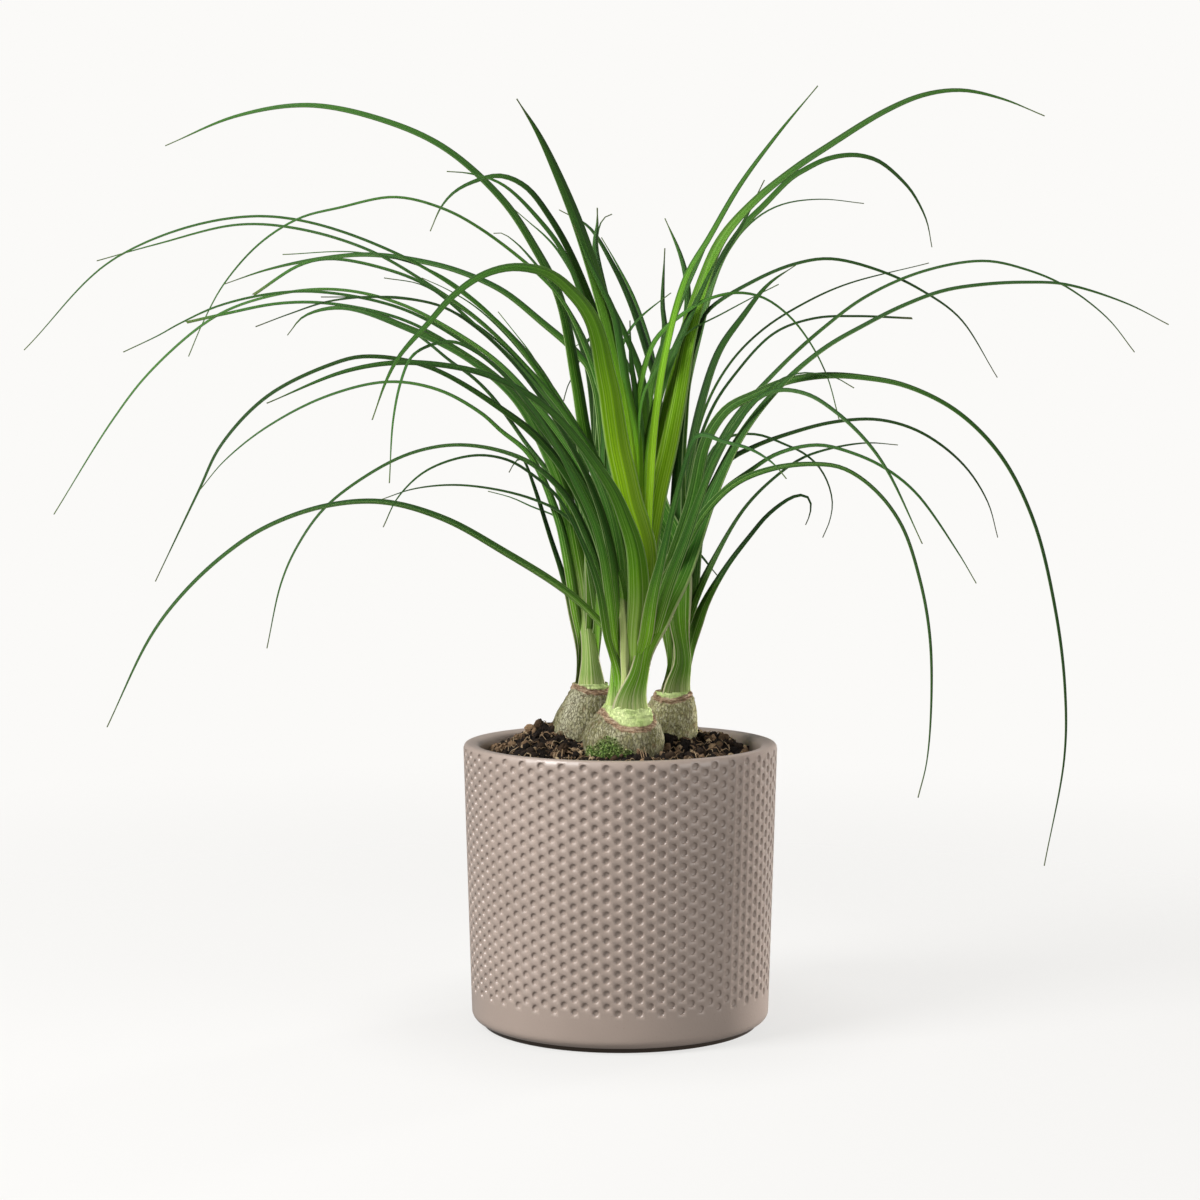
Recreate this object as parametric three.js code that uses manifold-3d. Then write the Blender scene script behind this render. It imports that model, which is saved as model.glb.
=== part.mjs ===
// A potted ponytail palm: three young plants with swollen bulbs in soil, in a dimpled stoneware pot.
// Millimetres, +Z up, origin on the pot's axis where it stands, the front of the pot toward -Y.
import * as THREE from 'three';
import { mergeVertices } from 'three/addons/utils/BufferGeometryUtils.js';
import Module from 'manifold-3d';

// Pot
const potHeight = 135;
const rimRadius = 75;
const lowerRadius = 71.7;
const footRadius = 66;
const footHeight = 2;
const potWall = 8;
const potFloor = 10;
const innerFloorRadius = 61;
const dimpleColumns = 30;
const dimpleRows = 21;
const dimpleDepth = 1.1;
const dimpleBottom = 17;
const dimpleTop = 130;

// Soil
const gap = 0.3;
const soilEdge = 127;
const soilCrown = 10;
const crumbHeight = 1.6;
const soilColumns = 40;

// Plants: the bulb's centre, its widest radius and heights, and the neck that leaves it
const plants = {
  front: { x: 1, y: -20, radius: 19.2, middle: 138, top: 155, neckX: 3.8, neckRadius: 8.7, neckTop: 204 },
  left: { x: -18, y: 12, radius: 14.5, middle: 141, top: 162, neckX: -14.5, neckRadius: 6.5, neckTop: 205 },
  right: { x: 24, y: 8, radius: 13.5, middle: 141, top: 158, neckX: 27.7, neckRadius: 7, neckTop: 205 },
};
const bulbColumns = 18;
const bulbDepth = 24;
const rootDepth = 34;
const rootRadius = 4;
const dishDepth = 3;
const neckColumns = 12;

// The viewpoint that the leaves are drawn from
const eye = { x: -9.7, distance: 1192, z: 280.6 };
const bladeThickness = 1.1;
const bladeFold = 0.22;
const longestStep = 65;
const sharpestBend = 21;
const leanPower = 1.4;
const taperPower = 2.2;
const rootSpread = 4;
const rootLean = 25;
const twinRise = [165, 225];
const twinJoin = 3;

// Each leaf is drawn as it is seen from the viewpoint against the upright plane through the pot's axis, from
// its root to its tip. wide is the blade's full width, turn is how far its face turns from the viewer at the
// root and at the tip, reach is how far behind the pot's axis the tip lies, and a blunt leaf has lost its tip.
// twin names a plant behind whose leaf follows the same arc, further away.
const leaves = {
  front: [
    { wide: 6.5, turn: [30, 70], reach: -40, twin: ['left', 150],
      seen: [[4, 160], [6, 203], [-5, 251], [-29, 296], [-57, 334], [-105, 367], [-171, 385], [-238, 366],
        [-283, 322]] },
    { wide: 7, turn: [30, 68], reach: -75, twin: ['left', 60],
      seen: [[3, 160], [3, 200], [-7, 260], [-22, 286], [-43, 312], [-67, 336], [-91, 353], [-119, 369],
        [-152, 379], [-181, 381], [-219, 372], [-248, 364]] },
    { wide: 7, turn: [30, 60], reach: -120, blunt: true,
      seen: [[2, 160], [-2, 229], [-10, 258], [-24, 284], [-45, 311], [-68, 333], [-91, 352], [-114, 361],
        [-138, 365], [-152, 362], [-174, 348]] },
    { wide: 4, turn: [30, 70], reach: -30,
      seen: [[4, 160], [1, 222], [-6, 255], [-19, 284], [-43, 318], [-67, 344], [-91, 360], [-124, 368],
        [-160, 367]] },
    { wide: 6, turn: [25, 66], reach: -150, twin: ['left', 130],
      seen: [[1, 160], [-4, 224], [-14, 258], [-31, 289], [-50, 315], [-69, 333], [-86, 343], [-114, 347],
        [-138, 345], [-157, 339], [-173, 333]] },
    { wide: 4, turn: [30, 66], reach: -95,
      seen: [[2, 160], [-2, 227], [-12, 260], [-29, 291], [-48, 316], [-67, 333], [-86, 343], [-105, 347],
        [-125, 347], [-142, 347]] },
    { wide: 7.5, turn: [20, 65], reach: -25,
      seen: [[4, 160], [1, 208], [-10, 260], [-16, 279], [-21, 308], [-29, 347], [-41, 371], [-56, 393],
        [-83, 417], [-112, 430], [-147, 437], [-181, 432], [-215, 418]] },
    { wide: 6.5, turn: [10, 60], reach: -60,
      seen: [[6, 160], [7, 203], [7, 255], [5, 279], [0, 301], [-6, 322], [-22, 364], [-33, 384], [-45, 399],
        [-57, 404], [-70, 401], [-79, 396], [-85, 389], [-90, 378]] },
    { wide: 6, turn: [20, 60], reach: -100, twin: ['left', 190],
      seen: [[5, 160], [3, 255], [-1, 284], [-7, 310], [-13, 331], [-26, 366], [-39, 384], [-56, 400],
        [-71, 405], [-82, 406]] },
    { wide: 6, turn: [25, 66], reach: -60, twin: ['left', 110],
      seen: [[3, 160], [0, 255], [-5, 284], [-11, 308], [-26, 343], [-38, 357], [-66, 379], [-85, 389],
        [-107, 394], [-133, 389], [-152, 384], [-171, 372], [-188, 353], [-198, 335], [-205, 319]] },
    { wide: 6.5, turn: [30, 70], reach: -110, twin: ['left', 90],
      seen: [[2, 160], [0, 203], [-6, 234], [-17, 263], [-36, 291], [-57, 315], [-81, 332], [-105, 344],
        [-129, 350], [-152, 350], [-181, 343], [-198, 334], [-224, 311], [-242, 288], [-270, 244]] },
    { wide: 7, turn: [20, 62], reach: -140, blunt: true,
      seen: [[0, 160], [1, 204], [-7, 232], [-20, 260], [-38, 286], [-57, 308], [-81, 325], [-105, 337],
        [-138, 344], [-162, 344], [-188, 339], [-206, 335]] },
    { wide: 7, turn: [20, 60], reach: -90, twin: ['left', 140],
      seen: [[-1, 160], [-3, 203], [-10, 232], [-22, 258], [-38, 279], [-55, 293], [-91, 314], [-121, 319],
        [-138, 315], [-168, 300], [-190, 277], [-201, 255], [-222, 212]] },
    { wide: 7.5, turn: [175, 120], reach: -160,
      seen: [[9, 160], [11, 204], [7, 227], [2, 242], [-4, 256], [-20, 279], [-31, 291], [-44, 301],
        [-60, 309], [-77, 314], [-105, 316], [-131, 312], [-168, 297]] },
    { wide: 6, turn: [30, 62], reach: -70, twin: ['left', 170],
      seen: [[-2, 160], [-5, 193], [-10, 217], [-17, 236], [-26, 253], [-42, 268], [-60, 275], [-80, 277],
        [-100, 273], [-120, 263], [-141, 247], [-154, 229], [-162, 211], [-169, 180]] },
    { wide: 4, turn: [25, 66], reach: -110,
      seen: [[2, 160], [1, 204], [-7, 233], [-20, 262], [-38, 289], [-57, 312], [-81, 330], [-105, 342],
        [-138, 349], [-162, 349], [-190, 343], [-210, 334], [-219, 329], [-236, 321]] },
    { wide: 5, turn: [30, 62], reach: -170,
      seen: [[-3, 160], [-7, 191], [-12, 215], [-29, 251], [-42, 263], [-54, 270], [-70, 272], [-92, 265],
        [-106, 252], [-113, 238]] },
    { wide: 7, turn: [160, 120], reach: -130,
      seen: [[-4, 160], [-4, 184], [-14, 197], [-28, 209], [-55, 226], [-84, 242], [-113, 250], [-141, 248],
        [-169, 238], [-190, 224], [-210, 205], [-225, 185], [-246, 142]] },
    { wide: 7, turn: [10, 30], reach: -60,
      seen: [[8, 160], [9, 222], [6, 270], [3, 293], [-6, 336], [-19, 378], [-29, 403], [-39, 424],
        [-49, 440]] },
    { wide: 5, turn: [30, 10], reach: -5,
      seen: [[6, 160], [7, 241], [5, 289], [1, 308], [-7, 343], [-12, 372], [-11, 381], [-11, 389]] },
    { wide: 9.5, turn: [175, 135], reach: -190,
      seen: [[8, 160], [11, 212], [7, 244], [0, 273], [-3, 298], [-10, 329], [-14, 343], [-24, 354],
        [-38, 360], [-52, 361], [-66, 357], [-80, 347], [-90, 336], [-105, 319], [-111, 308], [-118, 289]] },
    { wide: 6, turn: [30, 60], reach: -190,
      seen: [[0, 160], [-10, 232], [-22, 260], [-38, 289], [-57, 312], [-70, 322], [-80, 326], [-91, 324],
        [-99, 319], [-104, 308], [-108, 289], [-110, 259]] },
    { wide: 7.5, turn: [10, 66], reach: -50, twin: ['right', 140],
      seen: [[8, 160], [11, 219], [16, 250], [19, 266], [26, 297], [34, 331], [45, 362], [53, 376], [73, 399],
        [97, 417], [124, 434], [143, 442], [161, 444], [180, 440], [200, 432]] },
    { wide: 5, turn: [30, 50], reach: -90,
      seen: [[9, 160], [13, 231], [14, 255], [16, 284], [21, 319], [31, 356], [42, 375], [56, 399],
        [73, 422], [93, 446]] },
    { wide: 7, turn: [20, 66], reach: -30, twin: ['right', 90],
      seen: [[8, 160], [18, 200], [26, 222], [33, 243], [48, 279], [57, 293], [78, 316], [97, 333],
        [116, 347], [143, 359], [172, 364], [192, 360], [211, 352], [231, 337], [244, 321]] },
    { wide: 7.5, turn: [20, 62], reach: -80, twin: ['right', 140],
      seen: [[8, 160], [19, 195], [27, 212], [44, 255], [59, 284], [78, 307], [97, 323], [116, 334],
        [134, 343], [153, 350], [172, 353], [192, 354], [211, 353], [240, 344], [260, 334]] },
    { wide: 6, turn: [20, 55], reach: -170,
      seen: [[9, 160], [8, 246], [7, 275], [8, 298], [15, 324], [22, 333], [31, 340], [39, 345], [54, 349],
        [67, 347], [79, 339], [89, 327], [98, 310], [104, 289]] },
    { wide: 5, turn: [30, 60], reach: -120,
      seen: [[9, 160], [8, 279], [11, 301], [16, 311], [24, 322], [33, 331], [48, 339], [63, 347],
        [75, 353]] },
    { wide: 4, turn: [30, 60], reach: -60,
      seen: [[8, 160], [24, 215], [38, 250], [50, 277], [59, 291], [69, 302], [76, 308], [85, 311],
        [92, 311], [102, 309], [111, 304]] },
    { wide: 8, turn: [10, 60], reach: -100, twin: ['right', 170],
      seen: [[9, 160], [17, 200], [24, 220], [34, 250], [40, 277], [45, 287], [52, 295], [64, 301],
        [78, 307], [97, 310], [116, 309], [136, 305], [160, 293], [181, 272], [197, 241], [208, 198],
        [213, 160], [213, 127], [204, 75]] },
    { wide: 8, turn: [175, 122], reach: -150,
      seen: [[1, 160], [5, 175], [11, 191], [17, 204], [30, 228], [41, 246], [55, 259], [73, 266], [92, 268],
        [106, 266], [121, 256], [134, 239], [143, 213], [148, 186], [149, 154], [147, 125], [143, 108]] },
    { wide: 7, turn: [15, 58], reach: -190,
      seen: [[8, 160], [22, 208], [31, 232], [39, 255], [46, 272], [55, 286], [64, 298], [75, 303],
        [89, 301], [102, 293], [116, 280], [127, 265], [144, 230]] },
    { wide: 6.5, turn: [15, 62], reach: -60,
      seen: [[8, 160], [19, 203], [36, 236], [48, 254], [62, 265], [75, 273], [94, 277], [111, 273],
        [126, 266], [141, 254], [161, 226], [170, 211]] },
    { wide: 7, turn: [170, 120], reach: -140,
      seen: [[9, 160], [15, 203], [19, 220], [26, 250], [33, 275], [36, 281], [40, 282], [48, 279],
        [62, 275], [73, 268], [79, 261]] },
  ],
  left: [
    { wide: 8, turn: [25, 55], reach: 40,
      seen: [[-17, 165], [-20, 184], [-23, 200], [-28, 217], [-33, 232], [-38, 248], [-42, 260], [-45, 268],
        [-47, 271], [-50, 269], [-53, 264]] },
    { wide: 7, turn: [15, 60], reach: 110,
      seen: [[-14, 165], [-13, 203], [-17, 230], [-27, 255], [-38, 269], [-45, 278], [-52, 288], [-61, 300],
        [-70, 309], [-81, 317], [-92, 326], [-105, 335], [-122, 341], [-140, 342]] },
    { wide: 9, turn: [0, 60], reach: 80,
      seen: [[-15, 165], [-17, 203], [-22, 232], [-27, 255], [-33, 270], [-45, 293], [-55, 305], [-75, 320],
        [-100, 332], [-131, 342], [-150, 338], [-158, 329]] },
    { wide: 6, turn: [20, 62], reach: 60,
      seen: [[-15, 165], [-19, 184], [-26, 227], [-30, 243], [-43, 272], [-57, 284], [-66, 292], [-86, 303],
        [-110, 307], [-140, 300], [-169, 285], [-189, 269], [-200, 256]] },
    { wide: 7, turn: [30, 62], reach: 90,
      seen: [[-13, 165], [-11, 193], [-8, 251], [-8, 275], [-14, 312], [-22, 322], [-37, 335], [-56, 350],
        [-76, 359], [-95, 364], [-119, 367], [-143, 365], [-167, 360], [-188, 353]] },
    { wide: 5, turn: [20, 62], reach: 30,
      seen: [[-13, 165], [-10, 184], [-12, 203], [-19, 234], [-27, 244], [-41, 251], [-60, 256], [-80, 258],
        [-99, 256], [-114, 251]] },
    { wide: 4, turn: [30, 62], reach: 60,
      seen: [[-14, 165], [-14, 200], [-18, 225], [-28, 241], [-43, 248], [-52, 252], [-63, 255]] },
    { wide: 5, turn: [20, 40], reach: 55,
      seen: [[-12, 165], [-8, 222], [-5, 298], [-7, 326], [-10, 359], [-11, 376], [-8, 384], [-4, 386]] },
    { wide: 4, turn: [30, 50], reach: 12,
      seen: [[-12, 165], [-9, 230], [-8, 284], [-5, 305], [3, 329], [9, 337], [16, 343], [24, 349]] },
    { wide: 4, turn: [30, 50], reach: 130,
      seen: [[-13, 165], [-12, 250], [-12, 300], [-17, 345], [-29, 368], [-36, 376], [-43, 382],
        [-50, 388]] },
    { wide: 5, turn: [30, 55], reach: 150,
      seen: [[-14, 165], [-12, 240], [-13, 290], [-18, 322], [-31, 350], [-44, 367], [-50, 373], [-56, 377],
        [-60, 377]] },
    { wide: 4, turn: [30, 55], reach: 190,
      seen: [[-14, 165], [-14, 250], [-20, 283], [-29, 300], [-38, 313], [-43, 321], [-50, 330],
        [-58, 340]] },
    { wide: 4, turn: [30, 60], reach: 50,
      seen: [[-14, 165], [-18, 245], [-30, 280], [-48, 316], [-67, 335], [-81, 345], [-95, 353],
        [-112, 356]] },
    { wide: 5, turn: [30, 60], reach: 200,
      seen: [[-14, 165], [-16, 255], [-29, 294], [-48, 322], [-67, 341], [-81, 350], [-94, 356]] },
  ],
  right: [
    { wide: 6.5, turn: [20, 50], reach: 70,
      seen: [[24, 165], [21, 193], [17, 236], [17, 284], [18, 304], [14, 317], [5, 344], [-4, 363],
        [-15, 380], [-29, 388]] },
    { wide: 4.5, turn: [20, 50], reach: 120,
      seen: [[25, 165], [22, 200], [18, 240], [17, 280], [16, 315], [7, 345], [-2, 363], [-9, 375]] },
    { wide: 4.5, turn: [20, 20], reach: 40,
      seen: [[25, 165], [23, 188], [17, 251], [16, 275], [20, 322], [21, 333], [20, 343], [21, 370]] },
    { wide: 7, turn: [30, 40], reach: 60,
      seen: [[28, 165], [28, 222], [29, 289], [31, 331], [32, 345], [31, 357], [28, 368], [21, 384]] },
    { wide: 6, turn: [25, 62], reach: 110,
      seen: [[27, 165], [27, 222], [31, 284], [34, 308], [44, 345], [50, 363], [58, 378], [68, 388],
        [85, 405], [105, 413], [122, 410], [136, 398], [144, 383], [147, 370]] },
    { wide: 5, turn: [20, 40], reach: 60,
      seen: [[27, 165], [27, 240], [29, 298], [33, 326], [40, 350], [50, 369], [58, 382], [68, 402]] },
    { wide: 5, turn: [25, 60], reach: 200,
      seen: [[27, 165], [28, 250], [32, 300], [37, 324], [48, 363], [57, 377], [67, 386], [78, 391],
        [95, 393], [115, 391]] },
    { wide: 7.5, turn: [20, 64], reach: 70,
      seen: [[28, 165], [26, 217], [28, 279], [33, 315], [37, 329], [41, 340], [64, 355], [84, 363],
        [100, 365], [124, 359], [143, 350], [161, 337], [179, 309]] },
    { wide: 7, turn: [30, 62], reach: 190, blunt: true,
      seen: [[28, 165], [28, 236], [32, 260], [43, 293], [54, 310], [73, 330], [92, 337], [112, 338],
        [138, 337]] },
    { wide: 5, turn: [30, 62], reach: 120,
      seen: [[28, 165], [28, 230], [32, 262], [41, 296], [53, 317], [68, 332], [87, 344], [107, 353],
        [146, 363]] },
    { wide: 7.5, turn: [10, 50], reach: 130,
      seen: [[28, 165], [25, 217], [32, 265], [39, 299], [47, 322], [58, 338], [70, 353], [83, 362]] },
    { wide: 6, turn: [25, 62], reach: 50,
      seen: [[29, 165], [32, 193], [47, 227], [60, 248], [74, 262], [87, 271], [103, 276], [118, 278],
        [132, 277]] },
    { wide: 7, turn: [15, 50], reach: 20,
      seen: [[30, 165], [33, 176], [39, 198], [50, 218], [62, 234], [74, 247], [85, 253], [91, 251],
        [89, 240]] },
    { wide: 5, turn: [25, 60], reach: 40,
      seen: [[29, 165], [30, 222], [33, 243], [44, 275], [52, 281], [65, 282], [79, 277], [92, 270],
        [101, 248], [96, 233]] },
    { wide: 7, turn: [20, 62], reach: 90,
      seen: [[31, 165], [35, 212], [38, 236], [50, 268], [63, 276], [82, 283], [102, 288], [123, 289],
        [143, 283], [163, 268], [175, 250], [180, 233]] },
    { wide: 5, turn: [20, 30], reach: 170,
      seen: [[26, 165], [22, 225], [14, 280], [4, 314], [-4, 327], [-10, 330], [-15, 327], [-18, 321],
        [-22, 311], [-25, 305], [-27, 298]] },
    { wide: 4, turn: [20, 60], reach: 195,
      seen: [[26, 165], [21, 230], [12, 290], [0, 322], [-8, 329], [-16, 327], [-21, 324], [-25, 321]] },
    { wide: 5, turn: [20, 40], reach: 40,
      seen: [[30, 165], [32, 203], [32, 217], [34, 227], [38, 225], [42, 220], [47, 214]] },
  ],
};

const wasm = await Module();
wasm.setup();

// Closed meshes to solids and back, for joining and cutting
function toSolid(geometry) {
  const merged = mergeVertices(geometry, 1e-4);
  return new wasm.Manifold(new wasm.Mesh({
    numProp: 3,
    vertProperties: new Float32Array(merged.attributes.position.array),
    triVerts: new Uint32Array(merged.index.array),
  }));
}

function toGeometry(solid) {
  const { vertProperties, triVerts } = solid.getMesh();
  const geometry = new THREE.BufferGeometry();
  geometry.setAttribute('position', new THREE.BufferAttribute(vertProperties, 3));
  geometry.setIndex(new THREE.BufferAttribute(triVerts, 1));
  geometry.computeVertexNormals();
  return geometry;
}

// Solids joined in one body: a hollow that the joining seals is filled, and a loose scrap is dropped
function fuse(solids) {
  const bodies = wasm.Manifold.union(solids).decompose();
  return bodies.reduce((largest, body) => (body.volume() > largest.volume() ? body : largest));
}

// The volume inside a triangle mesh, negative where its faces point inwards
function signedVolume(positions, triangles) {
  const corner = (index) => new THREE.Vector3().fromArray(positions, 3 * index);
  let total = 0;
  for (const [a, b, c] of triangles) {
    total += corner(a).dot(corner(b).cross(corner(c))) / 6;
  }
  return total;
}

// A closed body through rings of points in order. A ring of one point is a tip, and an end ring of more
// points is closed flat. flip(ring, column) turns the diagonal of one panel.
function ringBody(rings, flip = () => false) {
  const positions = [];
  const starts = rings.map((ring) => {
    const start = positions.length / 3;
    ring.forEach((point) => positions.push(point.x, point.y, point.z));
    return start;
  });
  const triangles = [];
  for (let i = 0; i < rings.length - 1; i += 1) {
    const lower = rings[i].length;
    const upper = rings[i + 1].length;
    const columns = Math.max(lower, upper);
    for (let j = 0; j < columns; j += 1) {
      const next = (j + 1) % columns;
      const a = starts[i] + (lower > 1 ? j : 0);
      const b = starts[i] + (lower > 1 ? next : 0);
      const c = starts[i + 1] + (upper > 1 ? next : 0);
      const d = starts[i + 1] + (upper > 1 ? j : 0);
      const panel = flip(i, j) ? [[a, b, d], [b, c, d]] : [[a, b, c], [a, c, d]];
      triangles.push(...panel.filter(([p, q, r]) => p !== q && q !== r && r !== p));
    }
  }
  const closeEnd = (start, count, reversed) => {
    for (let j = 1; j < count - 1; j += 1) {
      triangles.push(reversed ? [start, start + j + 1, start + j] : [start, start + j, start + j + 1]);
    }
  };
  closeEnd(starts[0], rings[0].length, true);
  closeEnd(starts.at(-1), rings.at(-1).length, false);
  if (signedVolume(positions, triangles) < 0) {
    triangles.forEach((triangle) => triangle.reverse());
  }
  const geometry = new THREE.BufferGeometry();
  geometry.setAttribute('position', new THREE.Float32BufferAttribute(positions, 3));
  geometry.setIndex(triangles.flat());
  geometry.computeVertexNormals();
  return geometry;
}

// A level ring round (x, y), its radius a number or a formula of the column
function levelRing(radius, z, columns, x = 0, y = 0) {
  return Array.from({ length: columns }, (_, column) => {
    const angle = (2 * Math.PI * column) / columns;
    const r = typeof radius === 'function' ? radius(column, angle) : radius;
    return new THREE.Vector3(x + r * Math.cos(angle), y + r * Math.sin(angle), z);
  });
}

const mix = THREE.MathUtils.lerp;
const smooth = THREE.MathUtils.smoothstep;

// The pot: foot, rounded bottom edge, staggered rows of dimples, rounded lip and straight inner wall
function outerRadius(z) {
  return mix(lowerRadius, rimRadius, (z - dimpleBottom) / (dimpleTop - dimpleBottom));
}

function innerRadius(z) {
  return mix(innerFloorRadius, rimRadius - potWall, (z - potFloor) / (potHeight - potFloor));
}

function potGeometry() {
  const columns = 2 * dimpleColumns;
  const rings = [[new THREE.Vector3(0, 0, 0)]];
  const addRing = (radius, z) => rings.push(levelRing(radius, z, columns));
  addRing(footRadius, 0);
  addRing(footRadius, footHeight);
  addRing(footRadius + 2.2, footHeight + 0.3);
  addRing(lowerRadius - 1.9, 3.8);
  addRing(lowerRadius - 0.5, 7);
  const firstDimple = rings.length;
  for (let row = 0; row < dimpleRows; row += 1) {
    const z = mix(dimpleBottom, dimpleTop, row / (dimpleRows - 1));
    addRing((column) => outerRadius(z) - ((column + row) % 2 ? 0 : dimpleDepth), z);
  }
  const lipMiddle = rimRadius - potWall / 2;
  addRing(rimRadius + 0.1, potHeight - 2.6);
  addRing(rimRadius - 1.2, potHeight - 0.7);
  addRing(lipMiddle + 0.8, potHeight);
  addRing(lipMiddle - 2.2, potHeight - 0.8);
  addRing(innerRadius(potHeight - 3), potHeight - 3);
  addRing(innerFloorRadius, potFloor);
  rings.push([new THREE.Vector3(0, 0, potFloor)]);
  return ringBody(rings, (ring, column) => ring >= firstDimple && (ring - firstDimple + column) % 2 === 0);
}

// A bulb: a short root crown, the swollen body, and a dished top that the neck stands in. grow swells it
// all over, for the hole in the soil.
function bulbGeometry(plant, grow = 0) {
  const shoulder = plant.neckRadius + 1.6;
  const ring = (radius, z) => {
    const along = smooth(z, plant.middle, plant.top);
    const x = mix(plant.x, plant.neckX, along);
    const ribbed = (column, angle) => radius + grow + 0.012 * radius * Math.sin(7 * angle + z / 3);
    return levelRing(ribbed, z, bulbColumns, x, plant.y);
  };
  const crown = plant.middle - bulbDepth;
  const rings = [ring(rootRadius, plant.middle - rootDepth - grow), ring(rootRadius, crown - 2)];
  for (const fraction of [-0.94, -0.8, -0.55, -0.25, 0]) {
    rings.push(ring(plant.radius * Math.sqrt(1 - fraction ** 2), plant.middle + fraction * bulbDepth));
  }
  for (const fraction of [0.25, 0.5, 0.72, 0.88, 1]) {
    const swell = Math.cos((fraction * Math.PI) / 2) ** 0.8;
    rings.push(ring(mix(shoulder, plant.radius, swell), mix(plant.middle, plant.top, fraction)));
  }
  const dish = plant.top - dishDepth;
  rings.push(levelRing(plant.neckRadius + 0.6, plant.top + 0.2, bulbColumns, plant.neckX, plant.y));
  rings.push(levelRing(plant.neckRadius - 1, dish, bulbColumns, plant.neckX, plant.y));
  rings.push([new THREE.Vector3(plant.neckX, plant.y, dish)]);
  return ringBody(rings);
}

// The soil: filled to the pot's wall, heaped round the plants, crumbly on top, with a plain hole for each bulb
function soilHeight(radius, angle) {
  const heap = soilCrown * (1 - (radius / innerRadius(soilEdge)) ** 2);
  const crumbs = Math.sin(5 * angle + radius) * Math.cos(0.45 * radius - 3 * angle);
  return soilEdge + heap + crumbHeight * crumbs;
}

function soilGeometry() {
  const wallGap = 0.45;
  const edge = innerRadius(soilEdge) - wallGap;
  const floor = potFloor + gap;
  const rings = [[new THREE.Vector3(0, 0, floor)], levelRing(innerFloorRadius - wallGap, floor, soilColumns)];
  for (const radius of [edge, 60, 52, 43, 34, 25, 15, 6]) {
    const ring = levelRing(radius, 0, soilColumns);
    ring.forEach((point) => {
      point.z = radius === edge ? soilEdge : soilHeight(radius, Math.atan2(point.y, point.x));
    });
    rings.push(ring);
  }
  rings.push([new THREE.Vector3(0, 0, soilHeight(0, 0))]);
  const holes = Object.values(plants).map((plant) => toSolid(bulbGeometry(plant, gap)));
  return toGeometry(toSolid(ringBody(rings)).subtract(wasm.Manifold.union(holes)));
}

// A point drawn on the upright plane through the axis, moved along the line of sight to the depth y
function atDepth(x, z, y) {
  const scale = (y + eye.distance) / eye.distance;
  return new THREE.Vector3(mix(eye.x, x, scale), y, mix(eye.z, z, scale));
}

// Places along a curve from 0 to 1, closer together where it bends
function placesAlong(curve) {
  const samples = 120;
  const tangents = Array.from({ length: samples + 1 }, (_, i) => curve.getTangentAt(i / samples));
  const measure = [0];
  for (let i = 1; i <= samples; i += 1) {
    const bend = THREE.MathUtils.radToDeg(tangents[i].angleTo(tangents[i - 1]));
    measure.push(measure[i - 1] + curve.getLength() / samples / longestStep + bend / sharpestBend);
  }
  const count = Math.ceil(measure[samples]);
  const places = [];
  for (let i = 1; i < count; i += 1) {
    places.push(measure.findIndex((value) => value >= (i * measure[samples]) / count) / samples);
  }
  return [0, ...places, 1];
}

// One leaf: a keeled blade that arches from the neck and narrows to its tip
function leafGeometry({ wide, turn, reach, blunt, seen }, plant) {
  const drawn = new THREE.CatmullRomCurve3(seen.map(([x, z]) => new THREE.Vector3(x, 0, z)), false, 'centripetal');
  const places = placesAlong(drawn);
  const last = places.length - 1;
  const root = plant.y + THREE.MathUtils.clamp((reach - plant.y) / rootLean, -rootSpread, rootSpread);
  const viewer = new THREE.Vector3(eye.x, -eye.distance, eye.z);
  const path = places.map((along) => {
    const point = drawn.getPointAt(along);
    return atDepth(point.x, point.z, mix(root, reach, along ** leanPower));
  });
  const heading = Math.sign(seen.at(-1)[0] - seen[0][0]);
  const sections = path.map((point, i) => {
    const along = places[i];
    const tangent = path[Math.min(i + 1, last)].clone().sub(path[Math.max(i - 1, 0)]).normalize();
    const side = tangent.clone().cross(point.clone().sub(viewer)).normalize().multiplyScalar(-heading);
    const toward = tangent.clone().cross(side).multiplyScalar(-heading);
    const angle = THREE.MathUtils.degToRad(mix(turn[0], turn[1], smooth(along, 0, 0.7)));
    const across = side.multiplyScalar(Math.cos(angle)).addScaledVector(toward, Math.sin(angle));
    const back = across.clone().cross(tangent).multiplyScalar(heading);
    const taper = blunt ? 1 - 0.3 * along : 1 - along ** taperPower;
    const half = Math.max(0.5, (wide * taper * smooth(along, -0.25, 0.2)) / 2);
    return { point, across, back, half };
  });
  const rings = sections.map(({ point, across, back, half }, i) => {
    if (i === last && !blunt) {
      return [point];
    }
    const keel = Math.max(bladeThickness, 2 * half * bladeFold);
    return [
      point.clone().addScaledVector(across, half),
      point.clone().addScaledVector(across, -half),
      point.clone().addScaledVector(back, keel),
    ];
  });
  return ringBody(rings);
}

// The neck: a short stout stem of folded leaf bases, standing in the bulb's dished top
function neckGeometry(plant) {
  const profile = [
    [plant.neckRadius - 1.4, plant.top - dishDepth + gap],
    [plant.neckRadius, plant.top + gap + 0.4],
    [plant.neckRadius * 0.9, mix(plant.top, plant.neckTop, 0.35)],
    [plant.neckRadius * 0.72, mix(plant.top, plant.neckTop, 0.75)],
    [plant.neckRadius * 0.4, plant.neckTop],
  ];
  return ringBody(profile.map(([radius, z]) => levelRing(radius, z, neckColumns, plant.neckX, plant.y)));
}

// A leaf's twin on another plant rises straight from that plant's own neck, then follows the same arc
function twinOf(leaf, plant) {
  const rise = twinRise.map((z) => [plant.neckX, z]);
  return { ...leaf, reach: leaf.twin[1], seen: [...rise, ...leaf.seen.slice(twinJoin)] };
}

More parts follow.
